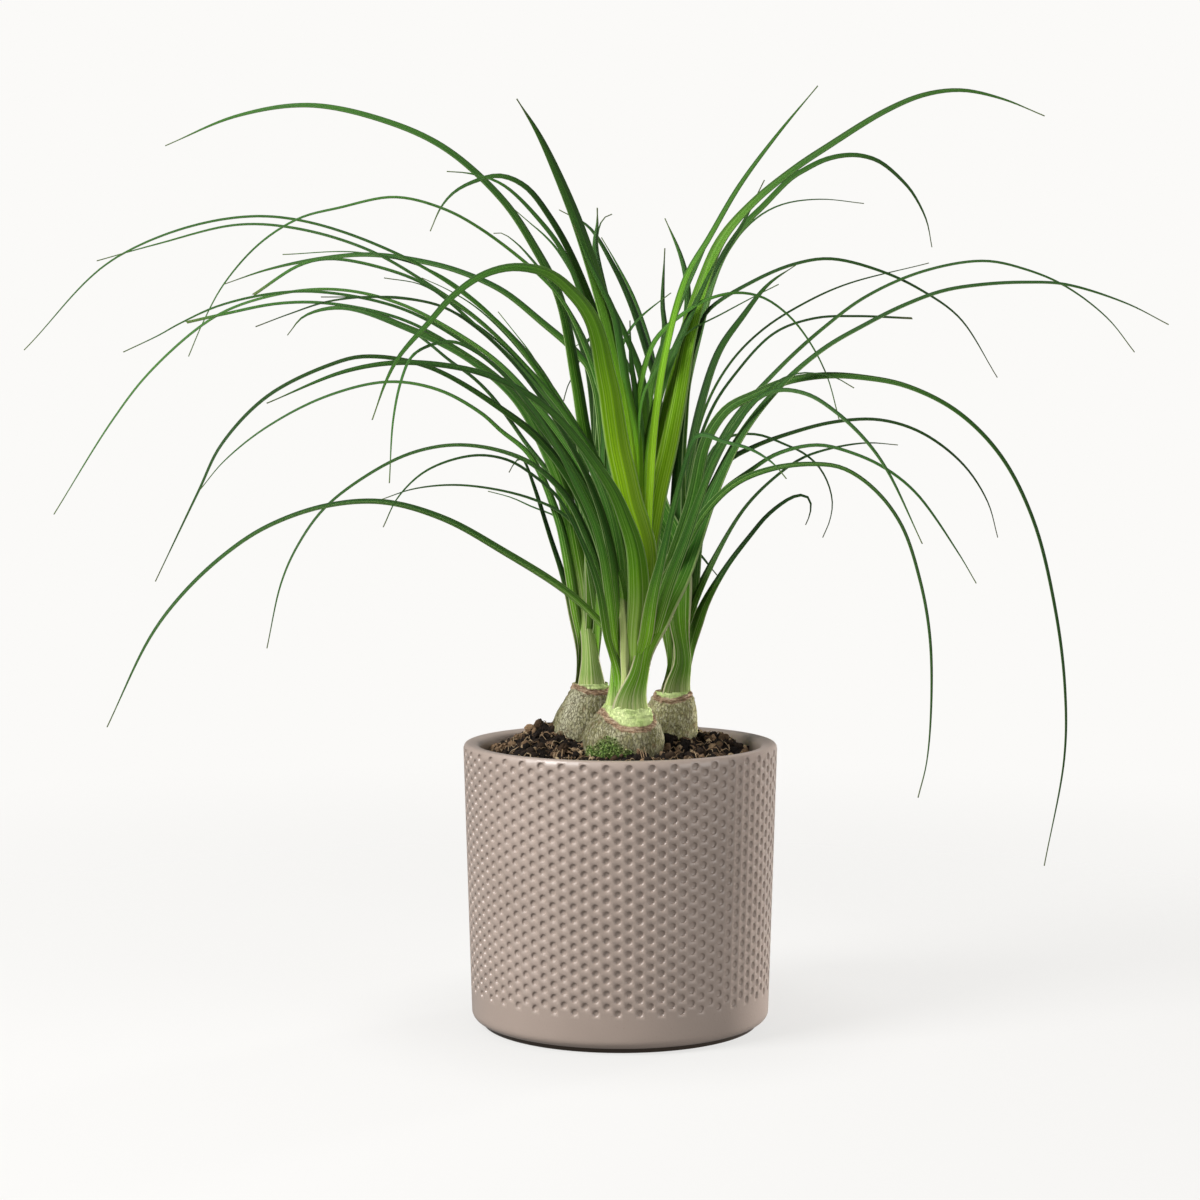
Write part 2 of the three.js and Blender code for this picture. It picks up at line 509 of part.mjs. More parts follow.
function leafyStemGeometry(name) {
  const plant = plants[name];
  const own = leaves[name];
  const twins = Object.values(leaves).flat().filter((leaf) => leaf.twin?.[0] === name);
  const blades = [...own, ...twins.map((leaf) => twinOf(leaf, plant))];
  const solids = blades.map((leaf) => toSolid(leafGeometry(leaf, plant)));
  return toGeometry(fuse([toSolid(neckGeometry(plant)), ...solids]));
}

function addPiece(group, name, geometry, color, roughness) {
  const mesh = new THREE.Mesh(geometry, new THREE.MeshStandardMaterial({ color, roughness, metalness: 0 }));
  mesh.name = name;
  group.add(mesh);
}

const palm = new THREE.Group();
addPiece(palm, 'pot', potGeometry(), '#a3948a', 0.4);
addPiece(palm, 'soil', soilGeometry(), '#33261c', 0.95);
for (const name of Object.keys(plants)) {
  addPiece(palm, `bulb_${name}`, bulbGeometry(plants[name]), '#9a9575', 0.8);
  addPiece(palm, `leafy_stem_${name}`, leafyStemGeometry(name), '#3f7526', 0.5);
}

export default palm;
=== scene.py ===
import math
import random
import bmesh
import bpy
import numpy as np
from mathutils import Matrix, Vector, geometry, noise


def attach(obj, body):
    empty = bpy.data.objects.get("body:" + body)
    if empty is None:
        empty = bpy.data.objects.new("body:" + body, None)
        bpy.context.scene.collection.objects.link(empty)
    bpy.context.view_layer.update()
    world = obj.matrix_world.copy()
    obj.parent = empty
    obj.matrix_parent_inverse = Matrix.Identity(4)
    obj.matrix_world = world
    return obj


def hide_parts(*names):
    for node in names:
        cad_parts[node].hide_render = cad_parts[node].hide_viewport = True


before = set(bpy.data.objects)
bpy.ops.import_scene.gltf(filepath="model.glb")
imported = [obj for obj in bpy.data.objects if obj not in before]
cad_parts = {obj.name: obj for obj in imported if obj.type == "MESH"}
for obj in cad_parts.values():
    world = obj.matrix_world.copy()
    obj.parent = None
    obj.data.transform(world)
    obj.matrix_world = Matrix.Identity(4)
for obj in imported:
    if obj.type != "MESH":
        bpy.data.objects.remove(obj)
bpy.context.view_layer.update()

# Potted ponytail palm: three young plants in a dimpled pot. Sizes are in mm and become metres with mm.
mm = 0.001
scene = bpy.context.scene

viewpoint = {"x": -9.7, "distance": 1192, "z": 280.6, "dip": 3.72, "lens": 75, "sensor": 36}

# Roughness, lacunarity and octaves of the noise that roughens soil and bulbs
fractal = (0.6, 2.1, 5)


# Small helpers for node trees
def addNode(tree, kind, inputs=None, **settings):
    node = tree.nodes.new(kind)
    for key, value in settings.items():
        setattr(node, key, value)
    for key, value in (inputs or {}).items():
        if isinstance(value, bpy.types.NodeSocket):
            tree.links.new(value, node.inputs[key])
        else:
            node.inputs[key].default_value = value
    return node


def maths(tree, operation, first, second=0.0, clamp=False):
    node = addNode(tree, "ShaderNodeMath", {0: first, 1: second}, operation=operation, use_clamp=clamp)
    return node.outputs[0]


def plus(tree, first, second):
    return maths(tree, "ADD", first, second)


def minus(tree, first, second):
    return maths(tree, "SUBTRACT", first, second)


def times(tree, first, second, clamp=False):
    return maths(tree, "MULTIPLY", first, second, clamp)


def over(tree, first, second):
    return maths(tree, "DIVIDE", first, second)


def vectorMaths(tree, operation, first, second):
    return addNode(tree, "ShaderNodeVectorMath", {0: first, 1: second}, operation=operation).outputs[0]


def scaled(tree, vector, factor):
    return addNode(tree, "ShaderNodeVectorMath", {0: vector, "Scale": factor}, operation="SCALE").outputs[0]


def split(tree, vector):
    return addNode(tree, "ShaderNodeSeparateXYZ", {0: vector}).outputs


def combined(tree, x, y, z=0.0):
    return addNode(tree, "ShaderNodeCombineXYZ", {0: x, 1: y, 2: z}).outputs[0]


# A radius and an angle as a place in the level plane
def polar(tree, radius, angle, z=0.0):
    return combined(tree, times(tree, radius, maths(tree, "COSINE", angle)),
                    times(tree, radius, maths(tree, "SINE", angle)), z)


def noiseAt(tree, vector, scale, detail, roughness=0.5):
    return addNode(tree, "ShaderNodeTexNoise", {"Vector": vector, "Scale": scale, "Detail": detail,
                                                "Roughness": roughness}).outputs


def moveTo(tree, shape, place):
    return addNode(tree, "GeometryNodeSetPosition", {"Geometry": shape, "Position": place}).outputs[0]


def joined(tree, *shapes):
    node = addNode(tree, "GeometryNodeJoinGeometry")
    for shape in shapes:
        tree.links.new(shape, node.inputs[0])
    return node.outputs[0]


def realized(tree, shape):
    return addNode(tree, "GeometryNodeRealizeInstances", {0: shape}).outputs[0]


def stored(tree, shape, name, value, domain="POINT"):
    return addNode(tree, "GeometryNodeStoreNamedAttribute", {"Geometry": shape, "Name": name, "Value": value},
                   data_type="FLOAT", domain=domain).outputs[0]


def newGeometryTree(name, inputs):
    tree = bpy.data.node_groups.new(name, "GeometryNodeTree")
    tree.interface.new_socket(name="Geometry", in_out="INPUT", socket_type="NodeSocketGeometry")
    for label, kind in inputs.items():
        tree.interface.new_socket(name=label, in_out="INPUT", socket_type="NodeSocket" + kind)
    tree.interface.new_socket(name="Geometry", in_out="OUTPUT", socket_type="NodeSocketGeometry")
    return tree, tree.nodes.new("NodeGroupInput").outputs, tree.nodes.new("NodeGroupOutput")


def closeGeometryTree(tree, shape, material, output):
    smooth = addNode(tree, "GeometryNodeSetShadeSmooth", {0: realized(tree, shape)})
    painted = addNode(tree, "GeometryNodeSetMaterial", {0: smooth.outputs[0], "Material": material})
    tree.links.new(painted.outputs[0], output.inputs[0])


def newObject(name, data):
    thing = bpy.data.objects.new(name, data)
    scene.collection.objects.link(thing)
    return thing


# The tree's result on a mesh, kept as a plain mesh of its own
def grow(name, mesh, tree, values):
    source = newObject(name + "Source", mesh)
    modifier = source.modifiers.new("grow", "NODES")
    modifier.node_group = tree
    for item in tree.interface.items_tree:
        if item.in_out == "INPUT" and item.name in values:
            modifier[item.identifier] = values[item.name]
    bpy.context.view_layer.update()
    evaluated = source.evaluated_get(bpy.context.evaluated_depsgraph_get())
    result = bpy.data.meshes.new_from_object(evaluated)
    source.modifiers.remove(modifier)
    bpy.data.objects.remove(source)
    print(name, len(result.polygons), "faces")
    return newObject(name, result)


def newMesh(name, points, faces=(), edges=()):
    mesh = bpy.data.meshes.new(name)
    mesh.from_pydata([tuple(point) for point in points], list(edges), list(faces))
    mesh.update()
    return mesh


def newPiece(name, mesh, material):
    mesh.materials.append(material)
    mesh.shade_smooth()
    print(name, len(mesh.polygons), "faces")
    return newObject(name, mesh)


def faceOut(mesh):
    work = bmesh.new()
    work.from_mesh(mesh)
    bmesh.ops.recalc_face_normals(work, faces=work.faces)
    work.to_mesh(mesh)
    work.free()


# A new mesh of the chosen faces only
def cutOut(name, mesh, chosen):
    faces = [face for face in mesh.polygons if chosen(face)]
    used = sorted({v for face in faces for v in face.vertices})
    index = {v: i for i, v in enumerate(used)}
    return newMesh(name, [mesh.vertices[v].co for v in used],
                   [[index[v] for v in face.vertices] for face in faces])


def storeAttribute(mesh, name, values, kind="FLOAT"):
    key = "vector" if kind == "FLOAT_VECTOR" else "value"
    mesh.attributes.new(name, kind, "POINT").data.foreach_set(key, np.ravel(values).astype(np.float32))


# Closed skin over rings of equal length, with both ends drawn together in a point
def ringMesh(name, rings, start, end):
    count = len(rings[0])
    points = [start] + [point for ring in rings for point in ring] + [end]
    last = len(points) - 1
    faces = [(0, 1 + (j + 1) % count, 1 + j) for j in range(count)]
    for i in range(len(rings) - 1):
        faces += band(1 + i * count, 1 + (i + 1) * count, count)
    top = 1 + (len(rings) - 1) * count
    return newMesh(name, points, faces + [(top + j, top + (j + 1) % count, last) for j in range(count)])


# Faces between two rings of equal length, given where each starts
def band(low, high, count):
    return [(low + j, low + (j + 1) % count, high + (j + 1) % count, high + j) for j in range(count)]


def smoothstep(value, low, high):
    t = min(1.0, max(0.0, (value - low) / (high - low)))
    return t * t * (3 - 2 * t)


def mix(a, b, t):
    return a + (b - a) * t


def curveAt(value, places, heights):
    return float(np.interp(value, places, heights))


def degreesFrom(angle, aim):
    return (math.degrees(angle) - aim + 180) % 360 - 180


# Two noises, a broad one and a fine one, for clouded colour and for grain, each with its detail
mottleDetail = {"Broad": 3.0, "Fine": 5.0}


def mottleGroup():
    group = bpy.data.node_groups.new("mottle", "ShaderNodeTree")
    for label, kind in (("Broad Scale", "Float"), ("Fine Scale", "Float"), ("Stretch", "Vector")):
        group.interface.new_socket(name=label, in_out="INPUT", socket_type="NodeSocket" + kind)
    for label in mottleDetail:
        group.interface.new_socket(name=label, in_out="OUTPUT", socket_type="NodeSocketFloat")
    source = group.nodes.new("NodeGroupInput").outputs
    result = group.nodes.new("NodeGroupOutput").inputs
    stretched = vectorMaths(group, "MULTIPLY", objectPlace(group), source["Stretch"])
    for label, detail in mottleDetail.items():
        group.links.new(noiseAt(group, stretched, source[label + " Scale"], detail)[0], result[label])
    return group


def useMottle(tree, broad, fine, stretch=(1, 1, 1)):
    return addNode(tree, "ShaderNodeGroup", {"Broad Scale": broad, "Fine Scale": fine, "Stretch": stretch},
                   node_tree=mottle).outputs


def objectPlace(tree):
    return addNode(tree, "ShaderNodeTexCoord").outputs["Object"]


# Colours mixed along a value by smooth stops
def ramp(tree, value, stops):
    node = addNode(tree, "ShaderNodeValToRGB", {0: value})
    while len(node.color_ramp.elements) < len(stops):
        node.color_ramp.elements.new(1.0)
    for element, (place, colour) in zip(node.color_ramp.elements, stops):
        element.position = place
        element.color = (*colour, 1)
    return node.outputs[0]


def mixColour(tree, factor, first, second, blend="MIX"):
    node = addNode(tree, "ShaderNodeMix", {0: factor}, data_type="RGBA", blend_type=blend)
    for index, value in ((6, first), (7, second)):
        if isinstance(value, bpy.types.NodeSocket):
            tree.links.new(value, node.inputs[index])
        else:
            node.inputs[index].default_value = (*value, 1)
    return node.outputs[2]


def between(tree, value, low, high, fromValue=0.0, toValue=1.0):
    return addNode(tree, "ShaderNodeMapRange", {"Value": value, "From Min": low, "From Max": high,
                                                "To Min": fromValue, "To Max": toValue},
                   interpolation_type="SMOOTHSTEP").outputs[0]


def newMaterial(name, constants):
    material = bpy.data.materials.new(name)
    material.use_nodes = True
    shader = material.node_tree.nodes["Principled BSDF"]
    for label, value in constants.items():
        shader.inputs[label].default_value = value
    return material, material.node_tree, shader


def addBump(tree, shader, height, distance):
    bump = addNode(tree, "ShaderNodeBump", {"Height": height, "Distance": distance, "Strength": 1.0})
    tree.links.new(bump.outputs[0], shader.inputs["Normal"])


def attribute(tree, name):
    return addNode(tree, "ShaderNodeAttribute", attribute_name=name).outputs["Fac"]


mottle = mottleGroup()


# Camera where the leaves are drawn from
def addCamera():
    data = bpy.data.cameras.new("camera")
    data.lens = viewpoint["lens"]
    data.sensor_width = viewpoint["sensor"]
    camera = newObject("camera", data)
    camera.location = (viewpoint["x"] * mm, -viewpoint["distance"] * mm, viewpoint["z"] * mm)
    camera.rotation_euler = (math.radians(90 - viewpoint["dip"]), 0, 0)
    scene.camera = camera


# Room, in metres: the floor glows for the camera, fades out to the wall's colour and has a painted contact
# shadow under the pot
studio = {"radius": 1.2, "sides": 96, "drop": 0.0002, "fade": (0.3, 1.0, 1.0, 0.0), "floor": 0.13,
          "glow": 0.815, "bounce": 0.18, "paintedContactShadow": 0.085, "paintedContactShadowAt": (0.06, 0.155),
          "seen": (0.965, 0.956, 0.939), "sky": 0.25, "skyTint": (1, 0.995, 0.985)}

lamps = [
    {"name": "key", "energy": 57, "size": 0.8, "place": (-1.32, -0.8, 1.45), "aim": (0, 0, 0.18)},
    {"name": "fill", "energy": 15, "size": 1.2, "place": (1.7, -0.95, 0.7), "aim": (0, 0, 0.2)},
    {"name": "rim", "energy": 0.62, "size": 0.3, "place": (0.98, 0.92, 0.12), "aim": (0, 0, 0.05),
     "spread": 16, "shiny": False},
    {"name": "strip", "energy": 0.25, "size": 0.35, "place": (-1.5, -0.85, 0.4), "aim": (0, 0, 0.08),
     "spread": 60},
]


def addLight(name, energy, size, place, aim, spread=180, shiny=True):
    data = bpy.data.lights.new(name, "AREA")
    data.energy = energy
    data.size = size
    data.spread = math.radians(spread)
    light = newObject(name, data)
    light.visible_glossy = shiny
    light.location = place
    light.rotation_euler = (Vector(aim) - Vector(place)).to_track_quat("-Z", "Y").to_euler()


def floorMaterial():
    material, tree, shader = newMaterial("paleFloor", {
        "Roughness": 1.0, "Specular IOR Level": 0.0, "Emission Color": (*studio["seen"], 1),
        "Base Color": (*(studio["floor"] * part for part in studio["seen"]), 1)})
    seen = addNode(tree, "ShaderNodeLightPath").outputs["Is Camera Ray"]
    glow = plus(tree, times(tree, seen, studio["glow"] - studio["bounce"]), studio["bounce"])
    away = addNode(tree, "ShaderNodeVectorMath", {0: objectPlace(tree)}, operation="LENGTH").outputs["Value"]
    # Painted shadow: the floor's glow darkens near the pot
    shade = between(tree, away, *studio["paintedContactShadowAt"], 1 - studio["paintedContactShadow"], 1.0)
    tree.links.new(times(tree, glow, shade), shader.inputs["Emission Strength"])
    tree.links.new(between(tree, away, *studio["fade"]), shader.inputs["Alpha"])
    return material


def addStudio():
    angles = [math.tau * i / studio["sides"] for i in range(studio["sides"])]
    ring = [(studio["radius"] * math.cos(a), studio["radius"] * math.sin(a), -studio["drop"]) for a in angles]
    newPiece("floor", newMesh("floor", ring, [tuple(range(studio["sides"]))]), floorMaterial())
    scene.world = bpy.data.worlds.new("paleRoom")
    scene.world.use_nodes = True
    tree = scene.world.node_tree
    light = tree.nodes["Background"]
    light.inputs["Strength"].default_value = studio["sky"]
    light.inputs["Color"].default_value = (*studio["skyTint"], 1)
    seen = addNode(tree, "ShaderNodeBackground", {"Color": (*studio["seen"], 1), "Strength": 1.0})
    path = addNode(tree, "ShaderNodeLightPath")
    chosen = addNode(tree, "ShaderNodeMixShader", {0: path.outputs["Is Camera Ray"], 1: light.outputs[0],
                                                   2: seen.outputs[0]})
    tree.links.new(chosen.outputs[0], tree.nodes["World Output"].inputs[0])
    for lamp in lamps:
        addLight(**lamp)
    scene.view_settings.view_transform = "Standard"
    print("studio ready")


# Pot: radii and heights from the foot up, then the dimples, whose rings are shares of their radius and depth
pot = {"height": 135, "rim": 75, "lower": 71.7, "lowerAt": 17, "rimAt": 130, "middleRadius": 73.5,
       "foot": 66, "footHeight": 2, "footRings": (0.3, 0.6, 0.85, 1),
       "edge": 4.2, "edgeLift": 0.3, "edgeRings": (0.15, 0.32, 0.5, 0.68, 0.85, 1),
       "plainFrom": 8.5, "plainRings": 5,
       "lip": 2.2, "lipDrop": 2.0, "lipRings": 4, "crestInset": 1.4, "crestLift": 0.02,
       "innerLip": ((2.6, 0.25), (1.2, 0.75), (0.45, 1.5), (0.1, 2.6)), "innerRim": 67, "innerFloor": 61,
       "innerRings": (128, 118, 105, 80, 50, 20, 12), "floor": 10, "floorRings": (59, 40, 15),
       "columns": 90, "rows": 38, "rowPitch": 3.04, "firstRow": 19.3, "phase": -95.3, "merge": 0.05,
       "dimple": 1.8, "depth": 0.85, "dimpleSides": 12,
       "dimpleRings": ((1.04, 0.0), (0.98, 0.12), (0.85, 0.8), (0.6, 0.98))}

glaze = {"mottle": (18, 900), "tones": [(0.3, (0.35, 0.278, 0.235)), (0.7, (0.385, 0.306, 0.26))],
         "specks": (0.62, 0.78), "speckShare": 0.35, "speckTint": (0.25, 0.19, 0.15),
         "bareFoot": (0.0024, 0.0019), "clay": (0.085, 0.06, 0.042), "roughness": (0.3, 0.7, 0.34, 0.46),
         "coat": 0.28, "coatRoughness": 0.3, "grain": 0.00006}


def outerRadius(z):
    return mix(pot["lower"], pot["rim"], (z - pot["lowerAt"]) / (pot["rimAt"] - pot["lowerAt"]))


def innerRadius(z):
    return mix(pot["innerFloor"], pot["innerRim"], (z - pot["floor"]) / (pot["height"] - pot["floor"]))


# Flat tile of the wall, cut in triangles, with a round dimple at its centre
def wallTile(name, width, height, dimple):
    levels = (-1, 0, 1) if dimple else (-1, 1)
    points = [(x * width / 2, y * height / 2, 0) for x in (-1, 0, 1) for y in levels if x or y]
    if dimple:
        for share, depth in pot["dimpleRings"]:
            for k in range(pot["dimpleSides"]):
                angle = math.tau * k / pot["dimpleSides"]
                points.append((share * dimple * math.cos(angle), share * dimple * math.sin(angle),
                               depth * pot["depth"]))
        points.append((0, 0, pot["depth"]))
    triangles = geometry.delaunay_2d_cdt([Vector(point[:2]) for point in points], [], [], 0, 1e-5)[2]
    return newObject(name, newMesh(name, [(x * mm, y * mm, z * mm) for x, y, z in points], triangles))


# Tiles in staggered columns, wrapped round the wall and joined to the plain rest of the pot
def dimpledWallTree():
    tree, source, output = newGeometryTree("dimpledWall", {
        "Tile": "Object", "Half Tile": "Object", "Columns": "Int", "Dimples": "Int", "Tile Width": "Float",
        "Row Pitch": "Float", "First Row": "Float", "Phase": "Float", "Lower Radius": "Float",
        "Lower Height": "Float", "Slope": "Float", "Lip Height": "Float", "Lip Radius": "Float",
        "Material": "Material"})

    def tiles(count, part, rowOf):
        points = addNode(tree, "GeometryNodePoints", {"Count": count})
        index = addNode(tree, "GeometryNodeInputIndex").outputs[0]
        column = maths(tree, "MODULO", index, source["Columns"])
        layer = maths(tree, "FLOOR", over(tree, index, source["Columns"]))
        row = rowOf(layer, maths(tree, "MODULO", column, 2.0))
        up = plus(tree, source["First Row"], times(tree, row, source["Row Pitch"]))
        place = combined(tree, times(tree, column, source["Tile Width"]), up)
        shape = addNode(tree, "GeometryNodeObjectInfo", {"Object": part}).outputs["Geometry"]
        return addNode(tree, "GeometryNodeInstanceOnPoints", {
            "Points": moveTo(tree, points.outputs[0], place), "Instance": shape}).outputs[0]

    def dimpleRow(layer, odd):
        return plus(tree, times(tree, layer, 2.0), minus(tree, 1.0, odd))

    def halfRow(_, odd):
        return minus(tree, times(tree, odd, times(tree, source["Dimples"], 2.0)), 0.5)

    total = times(tree, source["Columns"], source["Dimples"])
    wall = joined(tree, tiles(total, source["Tile"], dimpleRow),
                  tiles(source["Columns"], source["Half Tile"], halfRow))
    flat = split(tree, addNode(tree, "GeometryNodeInputPosition").outputs[0])
    turn = over(tree, flat[0], times(tree, source["Tile Width"], source["Columns"]))
    angle = plus(tree, times(tree, turn, math.tau), source["Phase"])
    height, lipHeight, lipRadius = flat[1], source["Lip Height"], source["Lip Radius"]
    above = minus(tree, maths(tree, "MINIMUM", height, lipHeight), source["Lower Height"])
    radius = plus(tree, source["Lower Radius"], times(tree, above, source["Slope"]))
    past = maths(tree, "MAXIMUM", minus(tree, height, lipHeight), 0.0)
    bend = over(tree, past, lipRadius)
    drawn = times(tree, minus(tree, 1.0, maths(tree, "COSINE", bend)), lipRadius)
    radius = minus(tree, minus(tree, radius, drawn), flat[2])
    lowered = minus(tree, past, times(tree, maths(tree, "SINE", bend), lipRadius))
    curved = moveTo(tree, realized(tree, wall), polar(tree, radius, angle, minus(tree, height, lowered)))
    whole = joined(tree, curved, source["Geometry"])
    merged = addNode(tree, "GeometryNodeMergeByDistance", {"Geometry": whole, "Distance": pot["merge"] * mm})
    closeGeometryTree(tree, merged.outputs[0], source["Material"], output)
    return tree


# Foot, bottom edge, lip and inside of the pot, open where the dimpled wall joins
def plainPot(bottom, lipAt, lipAngle):
    count = 2 * pot["columns"]
    turns = [math.radians(pot["phase"]) + math.tau * k / count for k in range(count)]
    lower = [(pot["foot"] * share, 0) for share in pot["footRings"]] + [(pot["foot"], pot["footHeight"])]
    edge, lip, inner = pot["edge"], pot["lip"], pot["innerRim"]
    corner = outerRadius(pot["footHeight"] + edge)
    for share in pot["edgeRings"]:
        angle = share * math.pi / 2
        lower.append((corner - edge + edge * math.sin(angle),
                      pot["footHeight"] + pot["edgeLift"] + edge * (1 - math.cos(angle))))
    lower += [(outerRadius(z), z) for z in np.linspace(pot["plainFrom"], bottom, pot["plainRings"])]
    upper = [(outerRadius(lipAt) - lip * (1 - math.cos(angle)), lipAt + lip * math.sin(angle))
             for angle in np.linspace(lipAngle, math.pi / 2, pot["lipRings"])]
    crest, crestZ = upper[-1]
    upper.append((crest - pot["crestInset"], crestZ + pot["crestLift"]))
    upper += [(inner + out, crestZ - down) for out, down in pot["innerLip"]]
    upper += [(innerRadius(z), z) for z in pot["innerRings"]]
    upper += [(radius, pot["floor"]) for radius in pot["floorRings"]]
    points, faces = [(0, 0, 0)], []
    for group in (lower, upper):
        starts = []
        for radius, z in group:
            starts.append(len(points))
            points += [(radius * mm * math.cos(a), radius * mm * math.sin(a), z * mm) for a in turns]
        for low, high in zip(starts, starts[1:]):
            faces += band(low, high, count)
        if group is lower:
            faces += [(0, starts[0] + (j + 1) % count, starts[0] + j) for j in range(count)]
    centre = len(points)
    points.append((0, 0, pot["floor"] * mm))
    faces += [(starts[-1] + j, starts[-1] + (j + 1) % count, centre) for j in range(count)]
    return newMesh("plainPot", points, faces)


def stonewareMaterial():
    material, tree, shader = newMaterial("stoneware", {"Coat Weight": glaze["coat"],
                                                       "Coat Roughness": glaze["coatRoughness"]})
    cloud = useMottle(tree, *glaze["mottle"])
    colour = ramp(tree, cloud["Broad"], glaze["tones"])
    specks = times(tree, between(tree, cloud["Fine"], *glaze["specks"]), glaze["speckShare"])
    colour = mixColour(tree, specks, colour, glaze["speckTint"])
    bare = between(tree, split(tree, objectPlace(tree))["Z"], *glaze["bareFoot"])
    tree.links.new(mixColour(tree, bare, colour, glaze["clay"]), shader.inputs["Base Color"])
    tree.links.new(between(tree, cloud["Broad"], *glaze["roughness"]), shader.inputs["Roughness"])
    addBump(tree, shader, cloud["Fine"], glaze["grain"])
    return material


def makePot():
    pitch = pot["rowPitch"]
    lipAt = pot["firstRow"] + pot["rows"] * pitch - pot["lipDrop"]
    tileWidth = math.tau * pot["middleRadius"] / pot["columns"]
    tile = wallTile("tile", tileWidth, 2 * pitch, pot["dimple"])
    half = wallTile("halfTile", tileWidth, pitch, 0)
    base = plainPot(pot["firstRow"] - pitch, lipAt, pot["lipDrop"] / pot["lip"])
    piece = grow("dimpledPot", base, dimpledWallTree(), {
        "Tile": tile, "Half Tile": half, "Columns": pot["columns"], "Dimples": pot["rows"] // 2,
        "Tile Width": tileWidth * mm, "Row Pitch": pitch * mm, "First Row": pot["firstRow"] * mm,
        "Phase": math.radians(pot["phase"]), "Lower Radius": pot["lower"] * mm,
        "Lower Height": pot["lowerAt"] * mm, "Lip Height": lipAt * mm, "Lip Radius": pot["lip"] * mm,
        "Slope": (pot["rim"] - pot["lower"]) / (pot["rimAt"] - pot["lowerAt"]),
        "Material": stonewareMaterial()})
    for part in (tile, half):
        bpy.data.objects.remove(part)
    faceOut(piece.data)
    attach(piece, "root")
    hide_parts("pot")


# Plants: bulb, the place of its neck and the height where the neck ends. Skin is painted light: it lightens a
# bulb in shade.
plants = {
    "front": {"x": 1.2, "y": -20, "radius": 19.2, "middle": 137.5, "top": 155, "crownX": 2.4, "neckX": 3.8,
              "neckRadius": 9.2, "neckTop": 204, "shade": 0.95, "flare": 0.55, "skin": 1, "shoulder": 1.0,
              "sunk": 5},
    "left": {"x": -18, "y": 12, "radius": 14.8, "middle": 139, "top": 162, "crownX": -14.3, "neckX": -14.5,
             "neckRadius": 7.7, "neckTop": 205, "shade": 0.64, "flare": 0.35, "skin": 1, "shoulder": 1.15,
             "sunk": 3},
    "right": {"x": 24, "y": 8, "radius": 13.2, "middle": 143.5, "top": 158.5, "crownX": 25.4, "neckX": 27.4,
              "neckRadius": 7.8, "neckTop": 205, "shade": 0.76, "flare": 0.35, "skin": 1.5, "shoulder": 0.95,
              "sunk": 3},
}


# Soil: a heaped crumbly top on a plain body that fills the pot. A mound has its place, width and height.
soil = {"edge": 127, "crown": 9.5, "gap": 0.3, "lumps": 3.4, "lumpScale": 0.12, "lumpEdge": (66, 60),
        "rings": 64, "columns": 192, "bottomRing": 30, "bottomInset": 0.5, "sideRings": (60, 110),
        "innermost": 0.8, "tone": 0.1, "frontShare": 0.45, "frontFrom": -42,
        "strewnWithin": 64, "strewnDrop": 4,
        "mounds": [(-37, 15, 15, 8), (46, 12, 13, 5.5), (-44, -14, 13, 3), (10, -45, 16, 1.5)]}

earth = {"mottle": (90, 1400), "tones": [(0.0, (0.008, 0.005, 0.0035)), (0.45, (0.03, 0.018, 0.011)),
                                         (0.7, (0.13, 0.08, 0.045)), (0.9, (0.32, 0.21, 0.12)),
                                         (1.0, (0.55, 0.42, 0.26))],
         "worn": (0.35, 0.75), "wornTint": (0.5, 0.47, 0.45), "grain": (0.6, 0.72, 0.0, 0.4),
         "grainTint": (0.12, 0.085, 0.055), "bump": 0.0012, "roughness": 0.95, "shine": 0.25}

# Crumbs and moss: chances raised to a power make small and dark ones the most common
crumb = {"squeeze": ((0.7, 0.6, 0.45), (1.2, 1.0, 0.85)), "sizePower": 3.0, "tonePower": 1.4,
         "noise": (520.0, 5.0, 0.8), "squeezeSeed": 5, "sizeSeed": 7, "toneSeed": 11}
strewn = {"soilCrumbs": {"count": 2300, "smallest": 0.7, "largest": 2.9, "rough": 3.4, "detail": 2, "seed": 4},
          "soilClods": {"count": 75, "smallest": 1.8, "largest": 4, "rough": 6.2, "detail": 4, "seed": 9},
          "moss": {"smallest": 0.22, "largest": 0.75, "rough": 0.6, "detail": 1, "seed": 3}}

fibre = {"count": 420, "seed": 21, "field": 62, "limit": 64, "length": (4, 13), "thick": (0.14, 0.32),
         "curl": (-0.7, 0.7), "lift": (0.1, 0.9), "tone": (0.86, 1.0), "raised": 0.9, "steps": 7, "sides": 4}


def soilHeight(x, y):
    radius = math.hypot(x, y)
    heap = soil["crown"] * (1 - (radius / innerRadius(soil["edge"])) ** 2)
    heap *= mix(soil["frontShare"], 1, smoothstep(y, soil["frontFrom"], 0))
    for aimX, aimY, wide, tall in soil["mounds"]:
        heap += tall * math.exp(-((x - aimX) ** 2 + (y - aimY) ** 2) / wide ** 2)
    lump = noise.fractal(Vector((x, y, 0)) * soil["lumpScale"], *fractal) * soil["lumps"]
    return soil["edge"] + heap + lump * smoothstep(radius, *soil["lumpEdge"])


def soilMaterial():
    material, tree, shader = newMaterial("soil", {"Roughness": earth["roughness"],
                                                 "Specular IOR Level": earth["shine"]})
    cloud = useMottle(tree, *earth["mottle"])
    dark = ramp(tree, attribute(tree, "tone"), earth["tones"])
    worn = mixColour(tree, between(tree, cloud["Broad"], *earth["worn"]), dark, earth["wornTint"], "MULTIPLY")
    grain = mixColour(tree, between(tree, cloud["Fine"], *earth["grain"]), worn, earth["grainTint"])
    tree.links.new(grain, shader.inputs["Base Color"])
    addBump(tree, shader, cloud["Fine"], earth["bump"])
    return material


